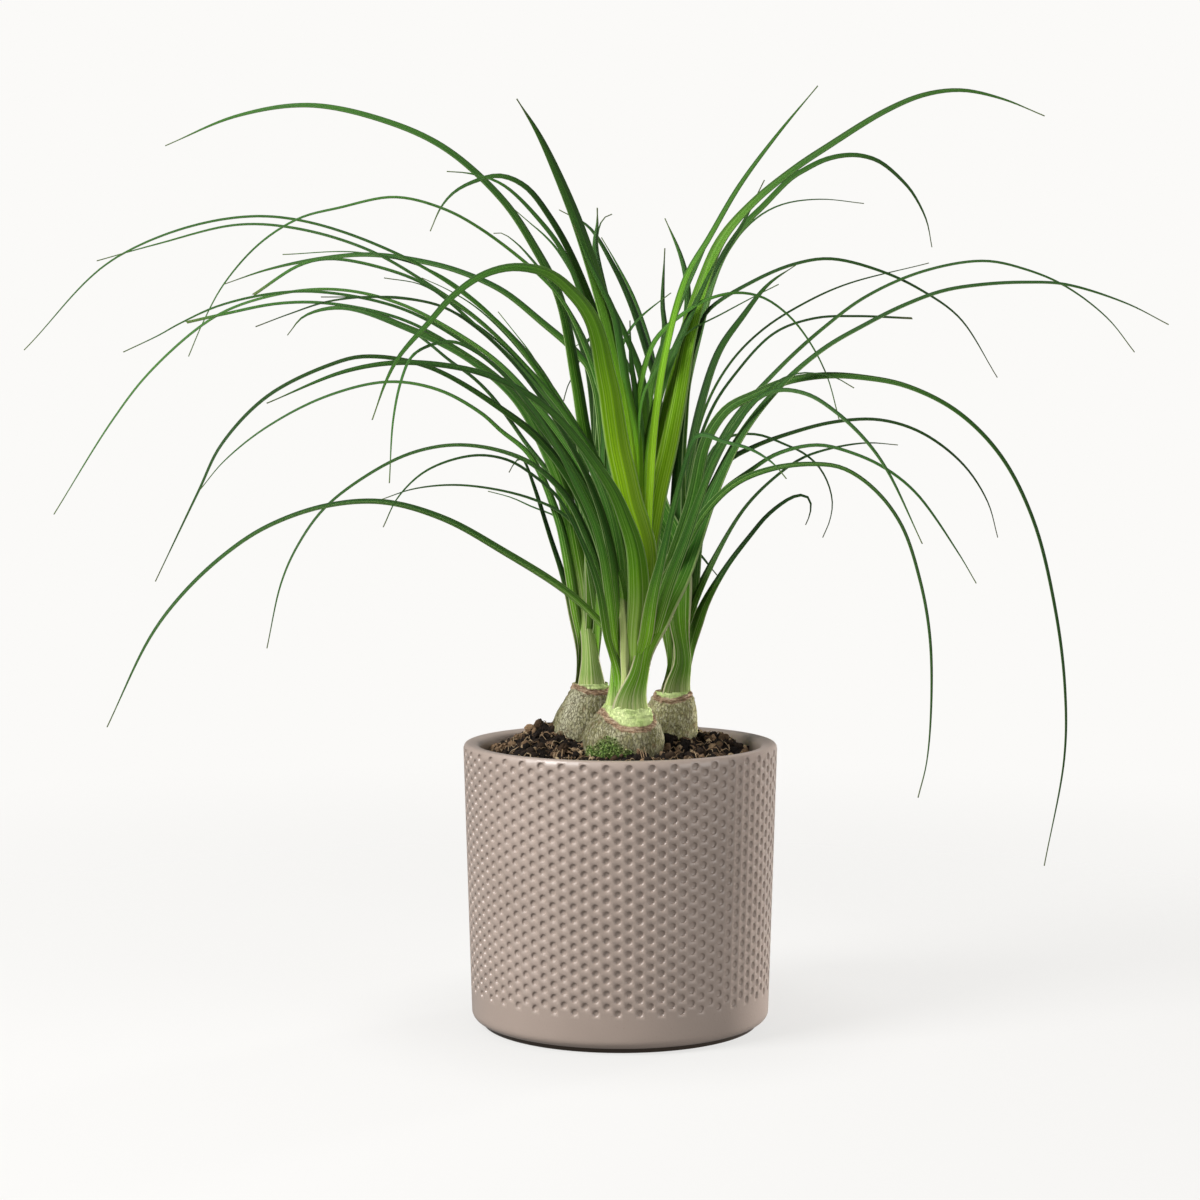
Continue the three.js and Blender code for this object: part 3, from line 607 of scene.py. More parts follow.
def soilBody():
    gap = soil["gap"]
    floor = pot["floor"] + gap
    levels = [(soil["bottomRing"], floor), (pot["innerFloor"] - soil["bottomInset"], floor)]
    levels += [(innerRadius(z) - gap, z) for z in soil["sideRings"]]
    levels += [(radius, None) for radius in np.linspace(innerRadius(soil["edge"]) - gap, soil["innermost"],
                                                        soil["rings"])]
    rings = []
    for radius, z in levels:
        ring = []
        for j in range(soil["columns"]):
            angle = math.tau * j / soil["columns"]
            x, y = radius * math.cos(angle), radius * math.sin(angle)
            ring.append((x * mm, y * mm, (soilHeight(x, y) if z is None else z) * mm))
        rings.append(ring)
    return ringMesh("soilBody", rings, (0, 0, floor * mm), (0, 0, soilHeight(0, 0) * mm))


# Crumbs strewn over a face, each turned and sized at random and roughened by noise
def crumbTree():
    tree, source, output = newGeometryTree("strewnCrumbs", {
        "Density": "Float", "Smallest": "Float", "Largest": "Float", "Roughness": "Float",
        "Detail": "Int", "Seed": "Int", "Material": "Material"})

    def chance(seed, power):
        drawn = addNode(tree, "FunctionNodeRandomValue", {2: 0.0, 3: 1.0, "Seed": seed}, data_type="FLOAT")
        return maths(tree, "POWER", drawn.outputs[1], power)

    def vectorChance(low, high, seed):
        return addNode(tree, "FunctionNodeRandomValue", {0: low, 1: high, "Seed": seed},
                       data_type="FLOAT_VECTOR").outputs[0]

    points = addNode(tree, "GeometryNodeDistributePointsOnFaces", {
        "Mesh": source["Geometry"], "Density": source["Density"], "Seed": source["Seed"]})
    ball = addNode(tree, "GeometryNodeMeshIcoSphere", {"Radius": 1.0, "Subdivisions": source["Detail"]})
    spin = vectorChance((0, 0, 0), (math.tau, math.tau, math.tau), source["Seed"])
    size = plus(tree, source["Smallest"], times(tree, chance(crumb["sizeSeed"], crumb["sizePower"]),
                                                minus(tree, source["Largest"], source["Smallest"])))
    scale = scaled(tree, vectorChance(*crumb["squeeze"], crumb["squeezeSeed"]), size)
    placed = addNode(tree, "GeometryNodeInstanceOnPoints", {
        "Points": points.outputs[0], "Instance": ball.outputs["Mesh"], "Rotation": spin, "Scale": scale})
    toned = stored(tree, placed.outputs[0], "tone", chance(crumb["toneSeed"], crumb["tonePower"]), "INSTANCE")
    place = addNode(tree, "GeometryNodeInputPosition").outputs[0]
    shift = vectorMaths(tree, "SUBTRACT", noiseAt(tree, place, *crumb["noise"])["Color"], (0.5, 0.5, 0.5))
    bent = addNode(tree, "GeometryNodeSetPosition", {"Geometry": realized(tree, toned),
                                                     "Offset": scaled(tree, shift, source["Roughness"])})
    closeGeometryTree(tree, bent.outputs[0], source["Material"], output)
    return tree


def strew(name, patch, tree, kind, density, material):
    return grow(name, patch, tree, {
        "Density": density, "Smallest": kind["smallest"] * mm, "Largest": kind["largest"] * mm,
        "Roughness": kind["rough"] * mm, "Detail": kind["detail"], "Seed": kind["seed"], "Material": material})


# Fine roots and fibres lying on the soil, as short bent threads
def fibrePiece(material):
    chance = random.Random(fibre["seed"])
    steps, sides, limit = fibre["steps"], fibre["sides"], fibre["limit"]
    points, faces, tones = [], [], []
    for _ in range(fibre["count"]):
        reach = fibre["field"] * math.sqrt(chance.random())
        around = chance.uniform(0, math.tau)
        length, aim = chance.uniform(*fibre["length"]), chance.uniform(0, math.tau)
        thick, curl, lift, tone = (chance.uniform(*fibre[key]) for key in ("thick", "curl", "lift", "tone"))
        start = len(points)
        for i in range(steps):
            t = i / (steps - 1)
            heading = aim + curl * t
            x = reach * math.cos(around) + math.cos(heading) * length * t
            y = reach * math.sin(around) + math.sin(heading) * length * t
            if math.hypot(x, y) > limit:
                x, y = x * limit / math.hypot(x, y), y * limit / math.hypot(x, y)
            z = soilHeight(x, y) + fibre["raised"] + lift * math.sin(math.pi * t)
            for k in range(sides):
                angle = math.tau * k / sides
                points.append(((x - math.sin(heading) * thick * math.cos(angle)) * mm,
                               (y + math.cos(heading) * thick * math.cos(angle)) * mm,
                               (z + thick * math.sin(angle)) * mm))
                tones.append(tone)
        for low in range(start, start + sides * (steps - 1), sides):
            faces += band(low, low + sides, sides)
        last = len(points) - sides
        faces += [tuple(start + k for k in reversed(range(sides))), tuple(last + k for k in range(sides))]
    mesh = newMesh("soilFibres", points, faces)
    storeAttribute(mesh, "tone", tones)
    faceOut(mesh)
    return newPiece("soilFibres", mesh, material)


def makeSoil(tree):
    material = soilMaterial()
    body = soilBody()
    storeAttribute(body, "tone", [soil["tone"]] * len(body.vertices))
    faceOut(body)
    piece = newPiece("pottingSoil", body, material)
    lowest, widest = (soil["edge"] - soil["strewnDrop"]) * mm, soil["strewnWithin"] * mm
    patch = cutOut("soilTop", body, lambda face: face.center.z > lowest and face.center.xy.length < widest)
    area = sum(face.area for face in patch.polygons)
    pieces = [piece]
    for name in ("soilCrumbs", "soilClods"):
        pieces.append(strew(name, patch.copy(), tree, strewn[name], strewn[name]["count"] / area, material))
    pieces.append(fibrePiece(material))
    for part in pieces:
        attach(part, "root")
    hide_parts("soil")


# Bulbs: swollen bases with fine cracked skin, ring scars under the neck and patches of moss. The scars' collar
# lies under the edge of the neck's tender green base; crown rings go inwards over that base.
bulb = {"depth": 24, "columns": 160, "rings": 110, "crowding": 0.85, "lowest": 0.93, "foot": 0.98,
        "crown": ((0.8, 0.3), (-0.4, -0.8), (-1.4, -2.6)), "crownDip": 3, "neckMargin": 1,
        "grain": 0.3, "grainScale": 0.5, "grainStretch": 0.45, "swell": 0.5, "swellScale": 0.06,
        "rib": 0.012, "ribs": 7, "ribTwist": 3, "scar": 0.2, "scarPitch": 2.6, "scarWave": 1.2,
        "scarRise": (0.55, 0.8), "edgeTurn": (8, 90), "edgeWave": 0.7, "edgeScale": 5, "edgeSoft": 0.5,
        "collarFrom": 3.8, "collarTo": 1.4, "collarWave": 0.8, "collarScale": 9,
        "mossFrom": 0.28, "mossDensity": 2.6e6}

# Where the tender green base of the neck ends on each bulb: the angle of its lowest point, the height there
# and the height at the sides
tenderEdge = {"front": (-68, 146, 153.5), "left": (-60, 159.5, 162), "right": (-100, 156, 159)}

# Each patch's angle, height, width in degrees and half height
mossPatches = {
    "front": [(-112, 130, 38, 17), (-142, 129, 28, 12), (-84, 128, 24, 12), (-50, 127, 30, 7)],
    "left": [(-52, 139, 34, 10), (-25, 147, 26, 9)],
    "right": [(-125, 138, 34, 8), (-160, 143, 24, 8)],
}

bark = {"mottle": (55, 700, (1, 1, 0.5)), "stretch": (1, 1, 0.5), "warp": 0.0022, "cells": 780.0,
        "crack": (0.13, 0.0), "crackShare": 0.75, "crackTint": (0.1, 0.085, 0.036), "crackDepth": 0.5,
        "bump": 0.0007, "roughness": 0.62, "shine": 0.35, "mossRoughness": 0.9, "mossShine": 0.2,
        "skin": [(0.34, (0.15, 0.14, 0.05)), (0.5, (0.28, 0.265, 0.13)), (0.66, (0.46, 0.44, 0.29))],
        "bloom": (0.42, 0.64, 0.0, 0.45), "bloomTint": (0.55, 0.52, 0.38),
        "brownMottle": (120, 260), "brown": (0.56, 0.7, 0.0, 0.5), "brownTint": (0.2, 0.125, 0.06),
        "scarStretch": (1, 1, 4.5), "scarNoise": (230.0, 4.0, 0.7), "scarShown": (0.85, 1.3),
        "scar": [(0.36, (0.09, 0.05, 0.024)), (0.5, (0.33, 0.21, 0.12)), (0.64, (0.58, 0.44, 0.3))],
        "tender": [(0.3, (0.44, 0.58, 0.17)), (0.7, (0.74, 0.84, 0.4))],
        "fibreStretch": (1, 1, 0.12), "fibreNoise": (420.0, 3.0, 0.7), "fibre": (0.47, 0.66, 0.0, 0.55),
        "fibreTint": (0.2, 0.32, 0.06), "mossGrain": 0.6, "mossShown": (0.55, 0.85),
        "moss": [(0.35, (0.02, 0.045, 0.008)), (0.5, (0.08, 0.17, 0.02)), (0.68, (0.28, 0.42, 0.1))],
        "tufts": [(0.0, (0.03, 0.05, 0.01)), (0.4, (0.085, 0.13, 0.028)), (0.8, (0.2, 0.27, 0.08)),
                  (1.0, (0.38, 0.43, 0.18))]}


def bulbRadius(plant, z):
    if z < plant["middle"]:
        return plant["radius"] * math.sqrt(max(0.0, 1 - ((z - plant["middle"]) / bulb["depth"]) ** 2))
    rise = (z - plant["middle"]) / (plant["top"] - plant["middle"])
    swell = max(0.0, math.cos(rise * math.pi / 2)) ** plant["shoulder"]
    return mix(plant["neckRadius"] + bulb["neckMargin"], plant["radius"], swell)


def bulbMaterial():
    material, tree, shader = newMaterial("bulbSkin", {"Roughness": bark["roughness"],
                                                     "Specular IOR Level": bark["shine"]})
    cloud = useMottle(tree, *bark["mottle"])
    place = objectPlace(tree)

    def stretched(key):
        return vectorMaths(tree, "MULTIPLY", place, bark[key])

    warped = vectorMaths(tree, "ADD", stretched("stretch"), scaled(tree, cloud["Fine"], bark["warp"]))
    cells = addNode(tree, "ShaderNodeTexVoronoi", {"Vector": warped, "Scale": bark["cells"]},
                    feature="DISTANCE_TO_EDGE")
    crack = between(tree, cells.outputs["Distance"], *bark["crack"])
    skin = ramp(tree, cloud["Broad"], bark["skin"])
    skin = mixColour(tree, between(tree, cloud["Fine"], *bark["bloom"]), skin, bark["bloomTint"])
    brown = between(tree, useMottle(tree, *bark["brownMottle"])["Fine"], *bark["brown"])
    skin = mixColour(tree, brown, skin, bark["brownTint"])
    skin = mixColour(tree, times(tree, crack, bark["crackShare"]), skin, bark["crackTint"])
    scar = ramp(tree, noiseAt(tree, stretched("scarStretch"), *bark["scarNoise"])[0], bark["scar"])
    worn = between(tree, plus(tree, attribute(tree, "collar"), cloud["Fine"]), *bark["scarShown"])
    # Painted light: the skin colour is scaled up on a bulb that lies in shade
    skin = mixColour(tree, worn, scaled(tree, skin, attribute(tree, "paintedLightOnSkin")), scar)
    fibres = noiseAt(tree, stretched("fibreStretch"), *bark["fibreNoise"])[0]
    tender = mixColour(tree, between(tree, fibres, *bark["fibre"]), ramp(tree, cloud["Broad"], bark["tender"]),
                       bark["fibreTint"])
    skin = mixColour(tree, attribute(tree, "tender"), skin, tender)
    ragged = plus(tree, attribute(tree, "moss"), times(tree, cloud["Fine"], bark["mossGrain"]))
    green = ramp(tree, cloud["Fine"], bark["moss"])
    tree.links.new(mixColour(tree, between(tree, ragged, *bark["mossShown"]), skin, green),
                   shader.inputs["Base Color"])
    addBump(tree, shader, minus(tree, cloud["Fine"], times(tree, crack, bark["crackDepth"])), bark["bump"])
    return material


def mossMaterial():
    material, tree, shader = newMaterial("moss", {"Roughness": bark["mossRoughness"],
                                                 "Specular IOR Level": bark["mossShine"]})
    tree.links.new(ramp(tree, attribute(tree, "tone"), bark["tufts"]), shader.inputs["Base Color"])
    return material


# Grain, swellings, ribs and ring scars move a bulb's skin in or out
def bulbRelief(spot, angle, radius, z, scar):
    grainPlace = Vector((spot.x, spot.y, spot.z * bulb["grainStretch"])) * bulb["grainScale"]
    grain = noise.fractal(grainPlace, *fractal) * bulb["grain"]
    swell = noise.noise(spot * bulb["swellScale"]) * bulb["swell"]
    rib = bulb["rib"] * radius * math.sin(bulb["ribs"] * angle + z / bulb["ribTwist"])
    groove = math.sin(z * bulb["scarPitch"] + bulb["scarWave"] * math.sin(angle * 2)) * bulb["scar"] * scar
    return grain + (swell + rib) + groove


def makeBulb(name, material, greens, crumbs):
    plant = plants[name]
    low, top, middle = plant["middle"] - bulb["lowest"] * bulb["depth"], plant["top"], plant["middle"]
    rings, marks = [], {"collar": [0], "tender": [0], "moss": [0]}

    def ringAt(radius, centre, z, scar=0.0):
        ring = []
        for j in range(bulb["columns"]):
            angle = math.tau * j / bulb["columns"]
            way = Vector((math.cos(angle), math.sin(angle), 0))
            spot = way * radius + Vector((centre, plant["y"], z))
            spot += way * bulbRelief(spot, angle, radius, z, scar)
            ring.append(spot * mm)
            aim, lowEdge, highEdge = tenderEdge[name]
            edge = mix(lowEdge, highEdge, smoothstep(abs(degreesFrom(angle, aim)), *bulb["edgeTurn"]))
            edge += bulb["edgeWave"] * noise.noise(way * bulb["edgeScale"])
            collarTop = edge - bulb["collarTo"] + bulb["collarWave"] * noise.noise(way * bulb["collarScale"])
            marks["collar"].append(smoothstep(z, edge - bulb["collarFrom"], collarTop))
            marks["tender"].append(smoothstep(z, edge, edge + bulb["edgeSoft"]))
            patches = [1 - math.hypot(degreesFrom(angle, aim) / wide, (z - height) / tall)
                       for aim, height, wide, tall in mossPatches[name]]
            marks["moss"].append(max([0.0] + patches))
        rings.append(ring)

    for i in range(bulb["rings"]):
        z = mix(low, top, (i / (bulb["rings"] - 1)) ** bulb["crowding"])
        rise = max(0.0, (z - middle) / (top - middle))
        centre = mix(plant["x"], plant["crownX"], smoothstep(z, middle, top))
        ringAt(bulbRadius(plant, z), centre, z, smoothstep(rise, *bulb["scarRise"]))
    for out, up in bulb["crown"]:
        ringAt(plant["neckRadius"] + out, plant["crownX"], top + up)
    ringAt(bulb["crownDip"], plant["crownX"], top - bulb["crownDip"])
    start = Vector((plant["x"], plant["y"], middle - bulb["foot"] * bulb["depth"])) * mm
    end = Vector((plant["crownX"], plant["y"], top - bulb["crownDip"])) * mm
    mesh = ringMesh("bulb" + name, rings, start, end)
    for label, values in marks.items():
        storeAttribute(mesh, label, values + [0])
    # Painted light: how much lighter this bulb's skin is painted
    storeAttribute(mesh, "paintedLightOnSkin", [plant["skin"]] * len(mesh.vertices))
    faceOut(mesh)
    piece = newPiece("bulb" + name.capitalize(), mesh, material)
    moss = marks["moss"] + [0]
    mossy = cutOut("mossy" + name, mesh, lambda face: min(moss[v] for v in face.vertices) > bulb["mossFrom"])
    tufts = strew("moss" + name.capitalize(), mossy, crumbs, strewn["moss"], bulb["mossDensity"], greens)
    for part in (piece, tufts):
        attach(part, "root")
    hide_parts("bulb_" + name)


# Leaves: a row starts with how fresh the leaf is, from old and dark (0) to new and bright (1), its width, the
# blade's turn about its own length at root and end, and the depth that it reaches. Its midrib, as drawn from
# the front, is "seen". Lean and ahead shape its depth, slender, late, broad and blunt its width, and layer,
# aim, around, free, proud and twist its base on the neck. Pale and cream are for its colour; tone sets its
# brightness, partly its own green and partly painted light and shade. A twin is a leaf like it on the plant
# that is named, with its own depth.
def row(fresh, wide, turn, reach, **more):
    return {"fresh": fresh, "wide": wide, "turn": turn, "reach": reach, **more}


# Leaves of a crown's middle narrow little and late, lean out late and stay bright for longer
inner = {"slender": .1, "lean": 2.4, "late": .3}

frontLeaves = [
    row(.3, 6.5, (30, 70), -40, twin=("left", 150), tone=.6, seen=[
        (4, 160), (6, 203), (-5, 251), (-29, 296), (-57, 334), (-105, 367), (-171, 385), (-238, 366),
        (-283, 322)]),
    row(.35, 7, (30, 68), -75, twin=("left", 60), tone=.9, seen=[
        (3, 160), (3, 200), (-7, 260), (-22, 286), (-43, 312), (-67, 336), (-91, 353), (-119, 369),
        (-152, 379), (-181, 381), (-219, 372), (-248, 364)]),
    row(.25, 7, (30, 60), -120, blunt=True, tone=1.2, seen=[
        (2, 160), (-2, 229), (-10, 258), (-24, 284), (-45, 311), (-68, 333), (-91, 352), (-114, 361),
        (-138, 365), (-152, 362), (-174, 348)]),
    row(.3, 4, (30, 70), -30, tone=1.2, seen=[
        (4, 160), (1, 222), (-6, 255), (-19, 284), (-43, 318), (-67, 344), (-91, 360), (-124, 368),
        (-160, 367)]),
    row(.25, 6, (25, 66), -150, twin=("left", 130), tone=.1, seen=[
        (1, 160), (-4, 224), (-14, 258), (-31, 289), (-50, 315), (-69, 333), (-86, 343), (-114, 347),
        (-138, 345), (-157, 339), (-173, 333)]),
    row(.25, 4, (30, 66), -95, tone=.2, seen=[
        (2, 160), (-2, 227), (-12, 260), (-29, 291), (-48, 316), (-67, 333), (-86, 343), (-105, 347),
        (-125, 347), (-142, 347)]),
    row(.5, 8, (20, 65), -25, slender=.1, tone=.9, seen=[
        (4, 160), (1, 208), (-10, 260), (-16, 279), (-21, 308), (-29, 347), (-41, 371), (-56, 393),
        (-83, 417), (-112, 430), (-147, 437), (-181, 432), (-215, 418)]),
    row(.7, 7.5, (10, 60), -60, slender=.1, lean=2.8, late=.3, seen=[
        (6, 160), (7, 203), (7, 255), (5, 279), (0, 301), (-6, 322), (-22, 364), (-33, 384), (-45, 399),
        (-57, 404), (-70, 401), (-79, 396), (-85, 389), (-90, 378)]),
    row(.6, 6, (20, 60), -60, twin=("left", 190), slender=.1, lean=2.6, tone=1.1, late=.3, seen=[
        (5, 160), (3, 255), (-1, 284), (-7, 310), (-13, 331), (-26, 366), (-39, 384), (-56, 400),
        (-71, 405), (-82, 406)]),
    row(.4, 6, (25, 66), -60, twin=("left", 110), tone=1.1, seen=[
        (3, 160), (0, 255), (-5, 284), (-11, 308), (-26, 343), (-38, 357), (-66, 379), (-85, 389),
        (-107, 394), (-133, 389), (-152, 384), (-171, 372), (-188, 353), (-198, 335), (-205, 319)]),
    row(.3, 6.5, (30, 70), -110, twin=("left", 90), tone=1.2, seen=[
        (2, 160), (0, 203), (-6, 234), (-17, 263), (-36, 291), (-57, 315), (-81, 332), (-105, 344),
        (-129, 350), (-152, 350), (-181, 343), (-198, 334), (-224, 311), (-242, 288), (-270, 244)]),
    row(.25, 7, (20, 62), -140, blunt=True, tone=1.4, seen=[
        (0, 160), (1, 204), (-7, 232), (-20, 260), (-38, 286), (-57, 308), (-81, 325), (-105, 337),
        (-138, 344), (-162, 344), (-188, 339), (-206, 335)]),
    row(.3, 7, (20, 60), -90, twin=("left", 140), tone=.1, seen=[
        (-1, 160), (-3, 203), (-10, 232), (-22, 258), (-38, 279), (-55, 293), (-91, 314), (-121, 319),
        (-138, 315), (-168, 300), (-190, 277), (-201, 255), (-222, 212)]),
    row(.55, 8.5, (0, 50), -160, free=28, pale=.3, tone=.65, broad=3, seen=[
        (7.5, 160.2), (7.5, 183.7), (8.9, 205.2), (7, 227.2), (2.2, 242.1), (-3.9, 256), (-20.1, 278.9),
        (-31.1, 291.2), (-43.9, 301.1), (-60.1, 309.1), (-77.2, 313.8), (-104.8, 316.1), (-131, 311.9),
        (-168.1, 296.8)]),
    row(.1, 6, (30, 62), -70, twin=("left", 170), seen=[
        (-2, 160), (-5, 193), (-10, 217), (-17, 236), (-26, 253), (-42, 268), (-60, 275), (-80, 277),
        (-100, 273), (-120, 263), (-141, 247), (-154, 229), (-162, 211), (-169, 180)]),
    row(.2, 6.5, (25, 66), -110, layer=1, pale=1.1, aim=-92, around=.45, cream=.6, free=26, tone=.8,
        ahead=-6.8, seen=[
        (2, 160), (1, 204), (-7, 233), (-20, 262), (-38, 289), (-57, 312), (-81, 330), (-105, 342),
        (-138, 349), (-162, 349), (-190, 343), (-210, 334), (-219, 329), (-236, 321)]),
    row(.1, 5, (30, 62), -170, tone=.3, seen=[
        (-3, 160), (-7, 191), (-12, 215), (-29, 251), (-42, 263), (-54, 270), (-70, 272), (-92, 265),
        (-106, 252), (-113, 238)]),
    row(.12, 3.7, (0, 55), -130, layer=0, slender=.1, free=22, seen=[
        (-4, 160), (-4, 184), (-14, 197), (-28, 209), (-55, 226), (-84, 242), (-113, 250), (-141, 248),
        (-169, 238), (-190, 224), (-210, 205), (-225, 185), (-246, 142)]),
    row(.95, 9.5, (10, 30), -60, slender=.2, lean=2.4, tone=.55, late=.3, seen=[
        (8, 160), (9, 222), (6, 270), (3, 293), (-6, 336), (-19, 378), (-29, 403), (-39, 424),
        (-49, 440)]),
    row(.35, 7.5, (30, 10), -5, slender=.1, lean=3, seen=[
        (6, 160), (7, 241), (5, 289), (1, 308), (-7, 343), (-12, 372), (-11, 381), (-11, 389)]),
    row(1, 12.5, (0, 48), -190, slender=.58, layer=40, lean=2.6, tone=.6, late=.26, seen=[
        (8, 160), (11.5, 212), (10.8, 229), (7.9, 240), (5, 249), (2, 262), (-1, 275), (-3.3, 289),
        (-5.2, 301.5), (-7.8, 314), (-10.3, 326.5), (-13.5, 336), (-18, 343.5), (-23.6, 349.7),
        (-30, 355.5), (-38, 359.5), (-52, 361), (-66, 357), (-80, 347), (-90, 336), (-105, 319),
        (-111, 308), (-118, 289)]),
    row(.3, 6, (30, 60), -190, tone=1, seen=[
        (0, 160), (-10, 232), (-22, 260), (-38, 289), (-57, 312), (-70, 322), (-80, 326), (-91, 324),
        (-99, 319), (-104, 308), (-108, 289), (-110, 259)]),
    row(.95, 12.5, (0, 48), -50, twin=("right", 140), slender=.6, layer=41, lean=2.4, tone=.6, late=.16,
        seen=[
        (7.9, 160.2), (9.8, 214.8), (12.2, 231.5), (16, 253.1), (21.3, 276.1), (26.5, 301.5),
        (31.3, 326.5), (38.4, 351.4), (47.4, 373.5), (62.7, 391.5), (82.5, 407.6), (97.7, 417.7),
        (125, 434.4), (143.5, 442), (161, 444), (180, 440), (200, 432)]),
    row(.95, 5, (30, 50), -90, **inner, tone=.95, seen=[
        (9, 160), (13, 231), (14, 255), (16, 284), (21, 319), (31, 356), (42, 375), (56, 399), (73, 422),
        (93, 446)]),
    row(.2, 6.6, (20, 66), -30, twin=("right", 90), free=26, tone=.4, seen=[
        (8, 160), (18, 200), (26, 222), (33, 243), (48, 279), (57, 293), (78, 316), (97, 333), (116, 347),
        (143, 359), (172, 364), (192, 360), (211, 352), (231, 337), (244, 321)]),
    row(.2, 8.5, (20, 62), -80, twin=("right", 140), layer=-1, aim=-68, around=1.05, cream=.9,
        slender=.55, free=42, tone=.25, broad=5, proud=3, twist=48, ahead=-9.5, seen=[
        (8.4, 160.2), (11.3, 174.1), (16, 188.5), (21.7, 201.9), (28.4, 215.3), (44.1, 255), (59, 284),
        (78, 307), (97, 323), (116, 334), (134, 343), (153, 350), (172, 353), (192, 354), (211, 353),
        (240, 344), (260, 334)]),
    row(.6, 4.5, (20, 55), -50, lean=2.6, tone=.8, late=.3, seen=[
        (9, 160), (8, 246), (7, 275), (8, 298), (15, 324), (22, 333), (31, 340), (39, 345), (54, 349),
        (67, 347), (79, 339), (89, 327), (98, 310), (104, 289)]),
    row(.6, 4, (30, 60), -45, lean=2.6, late=.3, seen=[
        (9, 160), (8, 279), (11, 301), (16, 311), (24, 322), (33, 331), (48, 339), (63, 347), (75, 353)]),
    row(.2, 4, (30, 60), -60, tone=.2, seen=[
        (8, 160), (24, 215), (38, 250), (50, 277), (59, 291), (69, 302), (76, 308), (85, 311), (92, 311),
        (102, 309), (111, 304)]),
    row(.3, 6.6, (10, 60), -100, twin=("right", 170), free=28, tone=.15, seen=[
        (9, 160), (17, 200), (24, 220), (34, 250), (40, 277), (45, 287), (52, 295), (64, 301), (78, 307),
        (97, 310), (116, 309), (136, 305), (160, 293), (181, 272), (197, 241), (208, 198), (213, 160),
        (213, 127), (204, 75)]),
    row(.35, 5, (0, 52), -150, tone=.3, seen=[
        (1, 160), (5, 175), (11, 191), (17, 204), (30, 228), (41, 246), (55, 259), (73, 266), (92, 268),
        (106, 266), (121, 256), (134, 239), (143, 213), (148, 186), (149, 154), (147, 125), (143, 108)]),
    row(.2, 7, (15, 58), -190, tone=.5, seen=[
        (8, 160), (22, 208), (31, 232), (39, 255), (46, 272), (55, 286), (64, 298), (75, 303), (89, 301),
        (102, 293), (116, 280), (127, 265), (144, 230)]),
    row(.2, 6.5, (15, 62), -60, tone=.8, seen=[
        (8, 160), (19, 203), (36, 236), (48, 254), (62, 265), (75, 273), (94, 277), (111, 273),
        (126, 266), (141, 254), (161, 226), (170, 211)]),
    row(.3, 7, (0, 50), -140, tone=.8, seen=[
        (9, 160), (15, 203), (19, 220), (26, 250), (33, 275), (36, 281), (40, 282), (48, 279), (62, 275),
        (73, 268), (79, 261)]),
    row(.9, 5.5, (5, 30), -45, **inner, tone=1, seen=[
        (8, 160), (9, 222), (8.6, 252), (7.9, 280), (3.7, 300), (.3, 321.8), (-3, 338.7), (-9, 352),
        (-15, 364), (-22, 381)]),
    row(1, 5, (5, 30), -20, **inner, tone=1, seen=[
        (8.5, 160), (9.5, 222), (10.5, 250), (11, 263), (12.2, 291.7), (9.8, 310), (3, 328), (-4, 343),
        (-12, 361)]),
    row(.85, 5.5, (5, 30), -35, **inner, tone=.65, seen=[
        (9, 160), (10, 222), (11, 250), (12.2, 270), (16.5, 293.5), (22.5, 313.5), (29.4, 330.2),
        (38, 349), (48, 370)]),
    row(.8, 4.5, (5, 30), 0, **inner, seen=[
        (9, 160), (9.5, 222), (11.5, 255), (13.2, 291.7), (14.6, 305.3), (20.8, 325.5), (30.8, 350.5),
        (37, 364), (47, 386)]),
    row(1, 5, (5, 30), -30, **inner, tone=1, seen=[
        (8.5, 160), (9.2, 222), (9.6, 250), (10, 280), (7.5, 300), (5, 318), (4.5, 336)]),
]
